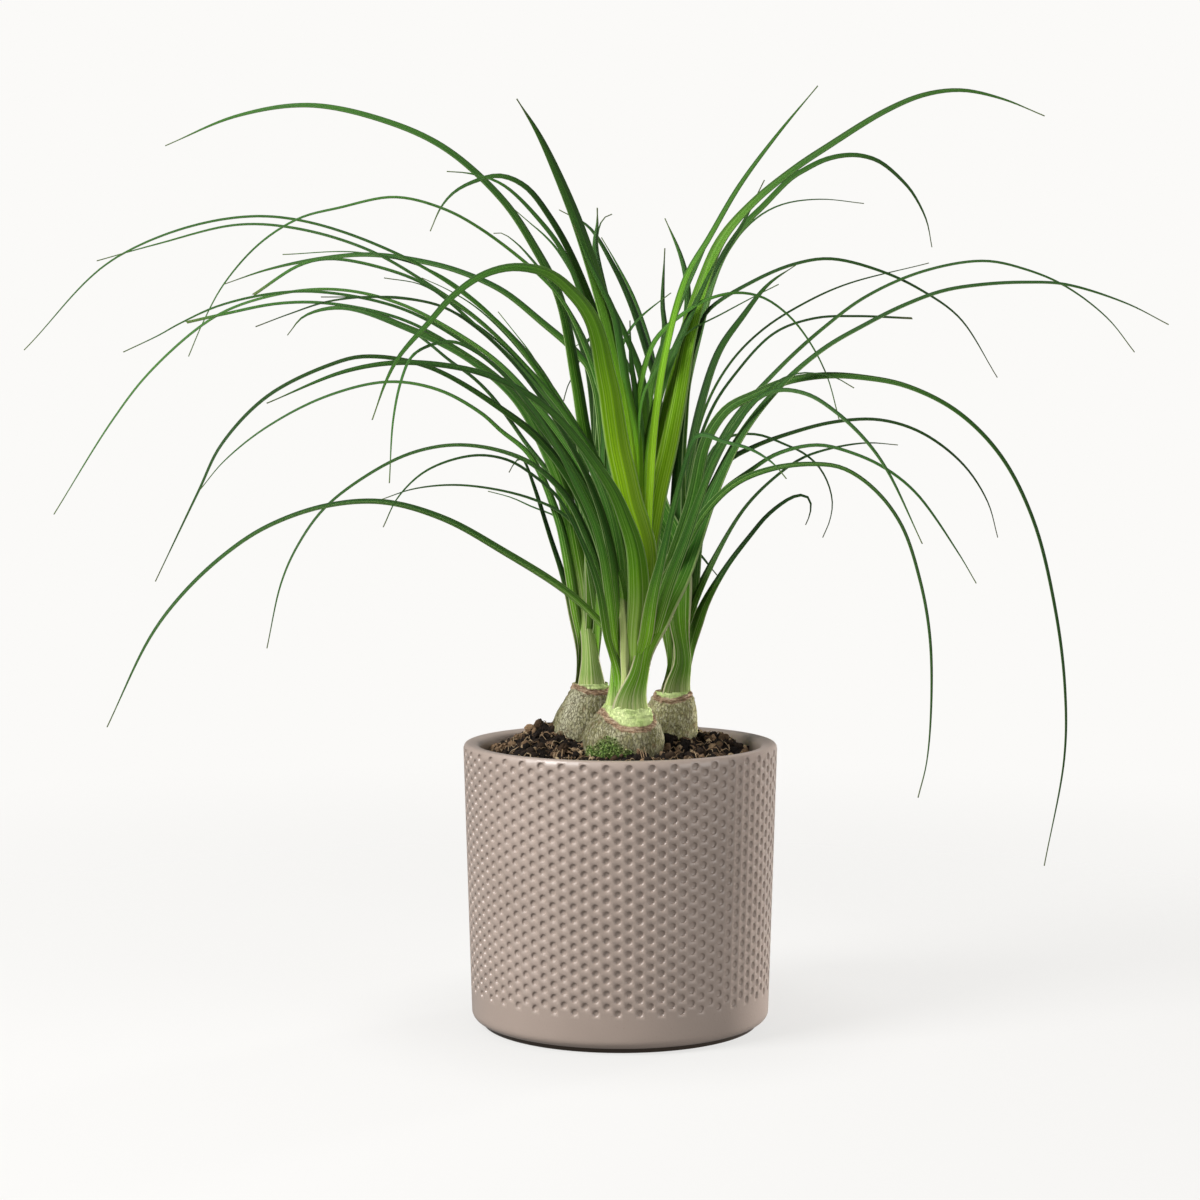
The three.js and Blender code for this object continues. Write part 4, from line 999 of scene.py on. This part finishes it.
leftLeaves = [
    row(.15, 8, (25, 55), 40, seen=[
        (-17, 165), (-20, 184), (-23, 200), (-28, 217), (-33, 232), (-38, 248), (-42, 260), (-45, 268),
        (-47, 271), (-50, 269), (-53, 264)]),
    row(.3, 7, (15, 60), 110, seen=[
        (-14, 165), (-13, 203), (-17, 230), (-27, 255), (-38, 269), (-45, 278), (-52, 288), (-61, 300),
        (-70, 309), (-81, 317), (-92, 326), (-105, 335), (-122, 341), (-140, 342)]),
    row(.5, 9, (0, 60), 80, slender=.1, layer=-1, pale=.5, aim=-84, around=1, cream=.9, tone=.7, seen=[
        (-15, 165), (-17, 203), (-22, 232), (-27, 255), (-33, 270), (-45, 293), (-55, 305), (-75, 320),
        (-100, 332), (-131, 342), (-150, 338), (-158, 329)]),
    row(.3, 6, (20, 62), 60, seen=[
        (-15, 165), (-19, 184), (-26, 227), (-30, 243), (-43, 272), (-57, 284), (-66, 292), (-86, 303),
        (-110, 307), (-140, 300), (-169, 285), (-189, 269), (-200, 256)]),
    row(.5, 7, (30, 62), 90, slender=.1, seen=[
        (-13, 165), (-11, 193), (-8, 251), (-8, 275), (-14, 312), (-22, 322), (-37, 335), (-56, 350),
        (-76, 359), (-95, 364), (-119, 367), (-143, 365), (-167, 360), (-188, 353)]),
    row(.1, 5, (20, 62), 30, seen=[
        (-13, 165), (-10, 184), (-12, 203), (-19, 234), (-27, 244), (-41, 251), (-60, 256), (-80, 258),
        (-99, 256), (-114, 251)]),
    row(.15, 4, (30, 62), 60, pale=.35, seen=[
        (-14, 165), (-14, 200), (-18, 225), (-28, 241), (-43, 248), (-52, 252), (-63, 255)]),
    row(.5, 5, (20, 40), 55, slender=.1, seen=[
        (-12, 165), (-8, 222), (-5, 298), (-7, 326), (-10, 359), (-11, 376), (-8, 384), (-4, 386)]),
    row(.4, 4, (30, 50), 12, slender=.1, seen=[
        (-12, 165), (-9, 230), (-8, 284), (-5, 305), (3, 329), (9, 337), (16, 343), (24, 349)]),
    row(.4, 4, (30, 50), 130, slender=.1, seen=[
        (-13, 165), (-12, 250), (-12, 300), (-17, 345), (-29, 368), (-36, 376), (-43, 382), (-50, 388)]),
    row(.4, 5, (30, 55), 150, slender=.1, seen=[
        (-14, 165), (-12, 240), (-13, 290), (-18, 322), (-31, 350), (-44, 367), (-50, 373), (-56, 377),
        (-60, 377)]),
    row(.3, 4, (30, 55), 190, seen=[
        (-14, 165), (-14, 250), (-20, 283), (-29, 300), (-38, 313), (-43, 321), (-50, 330), (-58, 340)]),
    row(.3, 4, (30, 60), 50, seen=[
        (-14, 165), (-18, 245), (-30, 280), (-48, 316), (-67, 335), (-81, 345), (-95, 353), (-112, 356)]),
    row(.3, 5, (30, 60), 200, seen=[
        (-14, 165), (-16, 255), (-29, 294), (-48, 322), (-67, 341), (-81, 350), (-94, 356)]),
]
rightLeaves = [
    row(.6, 6.5, (20, 50), 70, slender=.1, seen=[
        (24, 165), (21, 193), (17, 236), (17, 284), (18, 304), (14, 317), (5, 344), (-4, 363), (-15, 380),
        (-29, 388)]),
    row(.6, 4.5, (20, 50), 120, slender=.1, seen=[
        (25, 165), (22, 200), (18, 240), (17, 280), (16, 315), (7, 345), (-2, 363), (-9, 375)]),
    row(.5, 4.5, (20, 20), 40, slender=.1, seen=[
        (25, 165), (23, 188), (17, 251), (16, 275), (20, 322), (21, 333), (20, 343), (21, 370)]),
    row(.5, 7, (30, 40), 60, slender=.1, pale=.3, seen=[
        (28, 165), (28, 222), (29, 289), (31, 331), (32, 345), (31, 357), (28, 368), (21, 384)]),
    row(.55, 7.5, (25, 62), 110, slender=.1, seen=[
        (27, 165), (30.3, 222), (28.4, 250.7), (28.9, 276.1), (29.8, 288.8), (30.8, 301.5), (32.7, 313.8),
        (35.5, 326.5), (38.9, 339.2), (42.2, 350), (45.5, 359.4), (49.8, 368.5), (60.1, 382.6),
        (67.2, 389.6), (80.3, 402.7), (86.5, 406.6), (96.7, 411.6), (106.9, 413.7), (115, 413.2),
        (123.1, 410.2), (135.2, 399.6), (140.2, 392.6), (144.9, 382.6), (147.4, 370.5)]),
    row(.5, 5, (20, 40), 60, slender=.1, seen=[
        (27, 165), (27, 240), (29, 298), (33, 326), (40, 350), (50, 369), (58, 382), (68, 402)]),
    row(.3, 5, (25, 60), 200, seen=[
        (27, 165), (28, 250), (32, 300), (37, 324), (48, 363), (57, 377), (67, 386), (78, 391), (95, 393),
        (115, 391)]),
    row(.2, 7.5, (20, 64), 70, tone=.1, seen=[
        (28, 165), (26, 217), (28, 279), (33, 315), (37, 329), (41, 340), (64, 355), (84, 363),
        (100, 365), (124, 359), (143, 350), (161, 337), (179, 309)]),
    row(.1, 7, (30, 62), 190, blunt=True, cream=.9, tone=.1, seen=[
        (28, 165), (28, 236), (32, 260), (43, 293), (54, 310), (73, 330), (92, 337), (112, 338),
        (138, 337)]),
    row(.3, 5, (30, 62), 120, tone=.25, seen=[
        (28, 165), (28, 230), (32, 262), (41, 296), (53, 317), (68, 332), (87, 344), (107, 353),
        (146, 363)]),
    row(.45, 7.5, (10, 50), 130, slender=.1, seen=[
        (28, 165), (25, 217), (32, 265), (39, 299), (47, 322), (58, 338), (70, 353), (83, 362)]),
    row(.2, 6, (25, 62), 50, tone=.2, seen=[
        (29, 165), (32, 193), (47, 227), (60, 248), (74, 262), (87, 271), (103, 276), (118, 278),
        (132, 277)]),
    row(.1, 7, (15, 50), 20, tone=.3, seen=[
        (30, 165), (33, 176), (39, 198), (50, 218), (62, 234), (70, 243.5), (78.5, 250.3), (83, 252.6),
        (86.3, 253.2), (88.7, 252.6), (90.4, 250.6), (90.8, 247), (90, 243), (88.3, 239)]),
    row(.25, 5, (25, 60), 40, tone=.3, seen=[
        (29, 165), (30, 222), (33, 243), (44, 275), (52, 281), (65, 282), (79, 277), (87, 273.2),
        (94, 267.2), (98.8, 259), (101, 249.5), (99.8, 241), (96.5, 233)]),
    row(.15, 7, (20, 62), 90, tone=.1, seen=[
        (31, 165), (35, 212), (38, 236), (50, 268), (63, 276), (82, 283), (102, 288), (123, 289),
        (143, 283), (163, 268), (175, 250), (180, 233)]),
    row(.3, 5, (20, 30), 170, seen=[
        (26, 165), (22, 225), (14, 280), (4, 314), (-4, 327), (-10, 330), (-15, 327), (-18, 321),
        (-22, 311), (-25, 305), (-27, 298)]),
    row(.3, 4, (20, 60), 195, seen=[
        (26, 165), (21, 230), (12, 290), (0, 322), (-8, 329), (-16, 327), (-21, 324), (-25, 321)]),
    row(.4, 5, (20, 40), 40, seen=[
        (30, 165), (32, 203), (32, 217), (34, 227), (38, 225), (42, 220), (47, 214)]),
]
leaves = {"front": frontLeaves, "left": leftLeaves, "right": rightLeaves}

# How a blade leaves its neck, narrows, widens and turns, by shares of its length. Older leaves lie in the
# outer layers. A twin rises straight and then follows the drawn arc from one of its points on.
blade = {"samples": 12, "least": 12, "step": 3.5, "footStep": 3, "lean": 1.4, "rootSpread": 4, "rootLean": 25,
         "facingShare": 0.4, "turnAt": (0, 0.7), "slender": 0.5, "slenderAt": (0.12, 0.5), "taper": 6.5,
         "blunt": 0.3, "wideAt": (-0.25, 0.2), "broadAt": (0.35, 0.08),
         "fold": 0.36, "thick": 0.2, "tip": 0.34,
         "around": 0.85, "free": 36, "sides": 12, "layers": 30,
         "twinRise": (165, 225), "twinJoin": 3, "twinFresh": 0.3, "twinTone": 0.25}

# The neck's flare over its height, and how far round it the leaves' bases reach
neckForm = {"flareAt": (-0.12, -0.06, -0.02, 0, 0.06, 0.1, 0.35, 0.75, 1),
            "flare": (1.44, 1.3, 1.19, 1.13, 1.04, 1, 0.93, 0.74, 0.5),
            "aroundAt": (0, 0.3, 1), "around": (1, 0.72, 0.45), "bend": (0, 0.35), "twist": (0.08, 0.65),
            "layer": 0.02, "closed": 2, "spinAt": 0.8, "least": 1.0}

# Heights above the bulb between which the pale base, the pale sheath and the neck's colour fade, then how a
# blade's green and brightness fall along it, for old and for new leaves
tones = {"golden": 0.618, "base": (13, -2), "sheath": (64, 38), "neck": (85, 25), "neckShare": 0.4,
         "pale": 0.8, "cream": 0.8, "creamEvery": 3, "otherCream": 0.15, "fade": 0.82, "fadeAt": (0.2, 0.62),
         "oldAt": (0.15, 0.6), "old": (1.1, 0.56), "newAt": (0.32, 0.65), "new": (0.9, 0.56),
         "newFrom": 1.25, "newScale": 0.4, "dark": 0.66, "spread": 0.76}

foliage = {"shine": 0.13, "mottle": (26, 420), "neckMix": 0.85, "neckAge": 0.62, "wander": 0.3,
           "ages": [(0.0, (0.04, 0.132, 0.028)), (0.3, (0.066, 0.2, 0.02)), (0.55, (0.135, 0.33, 0.012)),
                    (0.8, (0.24, 0.48, 0.01)), (1.0, (0.36, 0.62, 0.012))],
           "lineStretch": 5.0, "lineShift": 40.0, "lineScale": 1.5, "lineDetail": 3.0, "lineRoughness": 0.8,
           "clear": (0.3, 0.8, 1.0, 0.4), "dark": (0.42, 0.58, 0.0, 0.9),
           "stripesAndGrooveShadeAtNeck": (0.0, 1.0, 1.0, 0.55), "stripesAndGrooveShadeTint": (0.44, 0.56, 0.38),
           "veinAndSheen": (0.44, 0.36, 0.0, 0.5), "veinAndSheenTint": (0.34, 0.5, 0.14),
           "bleach": (0.62, 0.42, 0.45, 1.1), "bleachTint": (0.47, 0.5, 0.21),
           "streak": (0.47, 0.38, 0.0, 0.55), "streakTint": (0.5, 0.55, 0.26),
           # painted light and shade: one half of each blade lighter, the other darker
           "paintedFoldLightAndShade": (-0.14, 0.1, 0.74, 1.2), "marginTint": (0.55, 0.5, 0.32),
           "edge": (0.84, 0.97), "edgeShare": 0.7, "edgeTint": (0.36, 0.5, 0.2),
           "dry": (0.95, 1.0), "dryShare": 0.3, "dryTint": (0.25, 0.22, 0.1),
           "roughness": (0.3, 0.7, 0.36, 0.46), "bump": 0.00025}


# Centripetal spline through the drawn points, as evenly spaced places with their share of the length
def drawnCurve(seen):
    points = [np.array(point, float) for point in seen]
    points = [2 * points[0] - points[1]] + points + [2 * points[-1] - points[-2]]
    dense = []
    for p0, p1, p2, p3 in zip(points, points[1:], points[2:], points[3:]):
        d0, d1, d2 = (max(1e-4, np.linalg.norm(b - a) ** 0.5) for a, b in ((p0, p1), (p1, p2), (p2, p3)))
        t1 = ((p1 - p0) / d0 - (p2 - p0) / (d0 + d1) + (p2 - p1) / d1) * d1
        t2 = ((p2 - p1) / d1 - (p3 - p1) / (d1 + d2) + (p3 - p2) / d2) * d1
        square, cube = 3 * (p2 - p1) - 2 * t1 - t2, 2 * (p1 - p2) + t1 + t2
        for t in np.arange(blade["samples"]) / blade["samples"]:
            dense.append(p1 + t1 * t + square * t ** 2 + cube * t ** 3)
    dense = np.array(dense + [points[-2]])
    run = np.concatenate([[0], np.cumsum(np.linalg.norm(np.diff(dense, axis=0), axis=1))])
    share = np.linspace(0, 1, max(blade["least"], int(run[-1] / blade["step"])) + 1)
    return share, np.column_stack([np.interp(share * run[-1], run, dense[:, i]) for i in (0, 1)])


# A point drawn on the upright plane through the axis, moved along the line of sight to the depth y
def atDepth(x, z, y):
    scale = (y + viewpoint["distance"]) / viewpoint["distance"]
    return np.array([mix(viewpoint["x"], x, scale), y, mix(viewpoint["z"], z, scale)])


def unit(vector):
    return vector / np.linalg.norm(vector)


# Places along one leaf from the bulb to its tip, each with its share of the length
def leafPath(leaf, plant):
    share, drawn = drawnCurve(leaf["seen"])
    lean = (leaf["reach"] - plant["y"]) / blade["rootLean"]
    root = plant["y"] + leaf.get("ahead", min(blade["rootSpread"], max(-blade["rootSpread"], lean)))
    power = leaf.get("lean", blade["lean"])
    path = [atDepth(x, z, mix(root, leaf["reach"], s ** power)) for s, (x, z) in zip(share, drawn)]
    foot = path[0] * (1, 1, 0) + (0, 0, plant["top"] - plant["sunk"])
    below = max(1, round((path[0][2] - foot[2]) / blade["footStep"]))
    return [mix(foot, path[0], i / below) for i in range(below)] + path, [0] * below + list(share)


def halfWidth(leaf, s):
    slimmed = smoothstep(s - leaf.get("late", 0), *blade["slenderAt"])
    narrow = 1 - leaf.get("slender", blade["slender"]) * slimmed
    narrow *= 1 - blade["blunt"] * s if leaf.get("blunt") else 1 - s ** blade["taper"]
    wide = leaf["wide"] * narrow * smoothstep(s, *blade["wideAt"])
    return max(blade["tip"], (wide + leaf.get("broad", 0) * smoothstep(s, *blade["broadAt"])) / 2)


# Sections of one leaf from root to tip, with all that the blade's skin needs at each
def leafSections(leaf, plant, layer):
    path, share = leafPath(leaf, plant)
    viewer = np.array([viewpoint["x"], -viewpoint["distance"], viewpoint["z"]])
    heading = math.copysign(1, leaf["seen"][-1][0] - leaf["seen"][0][0])
    sections = []
    for i, (point, s) in enumerate(zip(path, share)):
        tangent = unit(path[min(i + 1, len(path) - 1)] - path[max(i - 1, 0)])
        side = unit(np.cross(tangent, point - viewer)) * -heading
        toward = np.cross(tangent, side) * -heading
        angle = math.radians(mix(*leaf["turn"], smoothstep(s, *blade["turnAt"])))
        across = side * math.cos(angle) + toward * math.sin(angle)
        sections.append({"point": point, "across": across, "back": np.cross(across, tangent) * heading,
                         "half": halfWidth(leaf, s), "along": s})
    if "aim" in leaf:
        facing = math.radians(leaf["aim"])
    else:
        third = path[len(path) // 3]
        facing = math.atan2(mix(third[1], leaf["reach"], blade["facingShare"]) - plant["y"],
                            third[0] - plant["neckX"])
    wrapSections(sections, plant, leaf, facing, heading, layer - leaf.get("proud", 0))
    return sections


# Around the neck the leaves' bases lie one over the other, then each blade leaves it
def wrapSections(sections, plant, leaf, facing, heading, layer):
    top, free = plant["top"], leaf.get("free", blade["free"])
    ahead = np.array([-math.sin(facing), math.cos(facing), 0])
    start = next((s for s in sections if s["point"][2] > top + free * neckForm["spinAt"]), sections[-1])
    spin = math.copysign(1, float(np.dot(start["across"], ahead)))
    around = leaf.get("around", blade["around"])
    wrap = 1.0
    for section in sections:
        z = section["point"][2]
        wrap = min(wrap, smoothstep(z, top + free, top - neckForm["closed"]))
        rise = (z - top) / (plant["neckTop"] - top)
        flare = curveAt(rise, neckForm["flareAt"], neckForm["flare"])
        radius = plant["neckRadius"] * (min(flare, 1) + max(0, flare - 1) * plant["flare"])
        centre = mix(plant["crownX"], plant["neckX"], smoothstep(rise, *neckForm["bend"]))
        section["wrap"] = wrap
        section["axis"] = np.array([centre, plant["y"], z])
        section["facing"] = facing + math.radians(leaf.get("twist", 0)) * smoothstep(rise, *neckForm["twist"])
        section["reachAround"] = spin * around * curveAt(rise, neckForm["aroundAt"], neckForm["around"])
        section["ringRadius"] = max(neckForm["least"], radius * (1 - neckForm["layer"] * layer))
        section["outward"] = spin * heading


def leafTree():
    tree, source, output = newGeometryTree("bladesOnPaths", {
        "Sides": "Int", "Fold": "Float", "Half Thickness": "Float", "Material": "Material"})

    def read(name, kind="FLOAT"):
        return addNode(tree, "GeometryNodeInputNamedAttribute", {"Name": name}, data_type=kind).outputs[0]

    paths = addNode(tree, "GeometryNodeMeshToCurve", {0: source["Geometry"]})
    circle = addNode(tree, "GeometryNodeCurvePrimitiveCircle", {"Resolution": source["Sides"], "Radius": 1.0})
    place = split(tree, addNode(tree, "GeometryNodeInputPosition").outputs[0])
    profile = stored(tree, stored(tree, circle.outputs[0], "u", place[0]), "side", place[1])
    skin = addNode(tree, "GeometryNodeCurveToMesh", {"Curve": paths.outputs[0], "Profile Curve": profile,
                                                     "Fill Caps": True})
    u, side, half = read("u"), read("side"), read("half")
    flank = minus(tree, 1.0, maths(tree, "ABSOLUTE", u))
    folded = times(tree, times(tree, flank, half), source["Fold"])
    thick = times(tree, side, source["Half Thickness"])
    across = scaled(tree, read("across", "FLOAT_VECTOR"), times(tree, u, half))
    back = scaled(tree, read("back", "FLOAT_VECTOR"), plus(tree, folded, thick))
    free = vectorMaths(tree, "ADD", vectorMaths(tree, "ADD", read("spine", "FLOAT_VECTOR"), across), back)
    angle = plus(tree, read("facing"), times(tree, u, read("reachAround")))
    radius = plus(tree, read("ringRadius"), times(tree, thick, read("outward")))
    sheath = vectorMaths(tree, "ADD", read("axis", "FLOAT_VECTOR"), polar(tree, radius, angle))
    shape = addNode(tree, "ShaderNodeMix", {0: read("wrap"), 4: free, 5: sheath}, data_type="VECTOR")
    closeGeometryTree(tree, moveTo(tree, skin.outputs[0], shape.outputs[1]), source["Material"], output)
    return tree


def leafMaterial():
    material, tree, shader = newMaterial("leaf", {"Specular IOR Level": foliage["shine"]})
    along, u, neck = attribute(tree, "along"), attribute(tree, "u"), attribute(tree, "neck")
    wander = useMottle(tree, *foliage["mottle"])["Broad"]
    age = addNode(tree, "ShaderNodeMix", {0: times(tree, neck, foliage["neckMix"]),
                                          2: attribute(tree, "fresh"), 3: foliage["neckAge"]},
                  data_type="FLOAT").outputs[0]
    age = plus(tree, age, times(tree, minus(tree, wander, 0.5), foliage["wander"]))
    sideways = plus(tree, times(tree, u, foliage["lineStretch"]),
                    times(tree, attribute(tree, "seed"), foliage["lineShift"]))
    lines = addNode(tree, "ShaderNodeTexNoise", {"W": sideways, "Scale": foliage["lineScale"],
                                                 "Detail": foliage["lineDetail"],
                                                 "Roughness": foliage["lineRoughness"]},
                    noise_dimensions="1D").outputs[0]
    clear = between(tree, along, *foliage["clear"])
    # Darker lengthwise stripes: the blade's own stripes and painted shade of its grooves
    stripesAndGrooveShade = times(tree, times(tree, between(tree, lines, *foliage["dark"]), clear),
                   between(tree, neck, *foliage["stripesAndGrooveShadeAtNeck"]))
    tint = mixColour(tree, stripesAndGrooveShade, ramp(tree, age, foliage["ages"]), foliage["stripesAndGrooveShadeTint"], "MULTIPLY")
    # Lighter lengthwise lines: the blade's veins and a painted highlight along them
    veinsAndSheen = times(tree, between(tree, lines, *foliage["veinAndSheen"]), clear)
    tint = mixColour(tree, veinsAndSheen, tint, foliage["veinAndSheenTint"])
    bleached = times(tree, attribute(tree, "pale"), between(tree, lines, *foliage["bleach"]), clamp=True)
    tint = mixColour(tree, bleached, tint, foliage["bleachTint"])
    streak = times(tree, neck, between(tree, lines, *foliage["streak"]))
    tint = mixColour(tree, streak, tint, foliage["streakTint"])
    # Painted light and shade: one half of the blade is lightened and the other darkened across its fold
    tint = scaled(tree, tint, times(tree, attribute(tree, "tone"), between(tree, u, *foliage["paintedFoldLightAndShade"])))
    edge = between(tree, maths(tree, "ABSOLUTE", u), *foliage["edge"])
    shown = times(tree, edge, times(tree, clear, foliage["edgeShare"]))
    tint = mixColour(tree, shown, tint, foliage["edgeTint"])
    tint = mixColour(tree, times(tree, edge, attribute(tree, "margin")), tint, foliage["marginTint"])
    dry = times(tree, between(tree, along, *foliage["dry"]), foliage["dryShare"])
    tree.links.new(mixColour(tree, dry, tint, foliage["dryTint"]), shader.inputs["Base Color"])
    tree.links.new(between(tree, wander, *foliage["roughness"]), shader.inputs["Roughness"])
    addBump(tree, shader, lines, foliage["bump"])
    return material


# A leaf's twin on another plant rises straight from that plant's own neck, then follows the same arc
def twinOf(leaf, plant):
    rise = [(plant["neckX"], z) for z in blade["twinRise"]]
    return {**leaf, "reach": leaf["twin"][1], "seen": rise + leaf["seen"][blade["twinJoin"]:],
            "fresh": min(leaf["fresh"], blade["twinFresh"]), "tone": blade["twinTone"]}


# What the leaf material reads at one section
def sectionTones(leaf, plant, index, section):
    z, seed = section["point"][2], (index * tones["golden"]) % 1

    def below(key):
        high, low = tones[key]
        return smoothstep(z, plant["top"] + high, plant["top"] + low)

    pale = max(below("base") * section["wrap"], leaf.get("pale", 0) * below("sheath"))
    neck = below("neck") * (section["along"] < tones["neckShare"])
    cream = leaf.get("cream", tones["otherCream"] if index % tones["creamEvery"] else tones["cream"])
    spot = section["along"] - leaf.get("late", 0) / 2
    old, new = (curveAt(spot, tones[key + "At"], tones[key]) for key in ("old", "new"))
    dimmed = mix(old, new, min(1, max(0, leaf["fresh"] / tones["newScale"] - tones["newFrom"])))
    # Tone is the leaf's brightness: partly its own green, partly painted light and shade
    tone = tones["dark"] + tones["spread"] * leaf.get("tone", seed)
    faded = 1 - tones["fade"] * curveAt(spot, tones["fadeAt"], (0, 1))
    return {"fresh": leaf["fresh"] * faded, "seed": seed, "tone": tone * mix(1, plant["shade"], neck) * dimmed,
            "pale": pale * tones["pale"], "neck": neck, "margin": neck * cream}


def makeLeaves(name, material, tree):
    plant = plants[name]
    twins = [leaf for group in leaves.values() for leaf in group if leaf.get("twin", ("",))[0] == name]
    rows = leaves[name] + [twinOf(leaf, plant) for leaf in twins]
    order = sorted(range(len(rows)), key=lambda i: rows[i].get("layer", blade["layers"] * rows[i]["fresh"]))
    found, edges = [], []
    for layer, index in enumerate(order):
        sections = leafSections(rows[index], plant, layer)
        edges += [(len(found) + i, len(found) + i + 1) for i in range(len(sections) - 1)]
        found += [{**section, **sectionTones(rows[index], plant, index, section)} for section in sections]
    mesh = newMesh("paths" + name, [section["point"] * mm for section in found], (), edges)
    for label, key, scale in (("across", "across", 1), ("back", "back", 1), ("spine", "point", mm),
                              ("axis", "axis", mm)):
        storeAttribute(mesh, label, [section[key] * scale for section in found], "FLOAT_VECTOR")
    for label in ("half", "ringRadius"):
        storeAttribute(mesh, label, [section[label] * mm for section in found])
    for label in ("along", "wrap", "facing", "reachAround", "outward", "fresh", "seed", "tone", "pale", "neck",
                  "margin"):
        storeAttribute(mesh, label, [section[label] for section in found])
    piece = grow("leaves" + name.capitalize(), mesh, tree, {
        "Sides": blade["sides"], "Fold": blade["fold"], "Half Thickness": blade["thick"] * mm,
        "Material": material})
    faceOut(piece.data)
    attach(piece, "root")
    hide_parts("leafy_stem_" + name)


addCamera()
addStudio()
makePot()
crumbs = crumbTree()
makeSoil(crumbs)
skinMaterial = bulbMaterial()
greenTufts = mossMaterial()
greenMaterial = leafMaterial()
blades = leafTree()
for plantName in plants:
    makeBulb(plantName, skinMaterial, greenTufts, crumbs)
    makeLeaves(plantName, greenMaterial, blades)
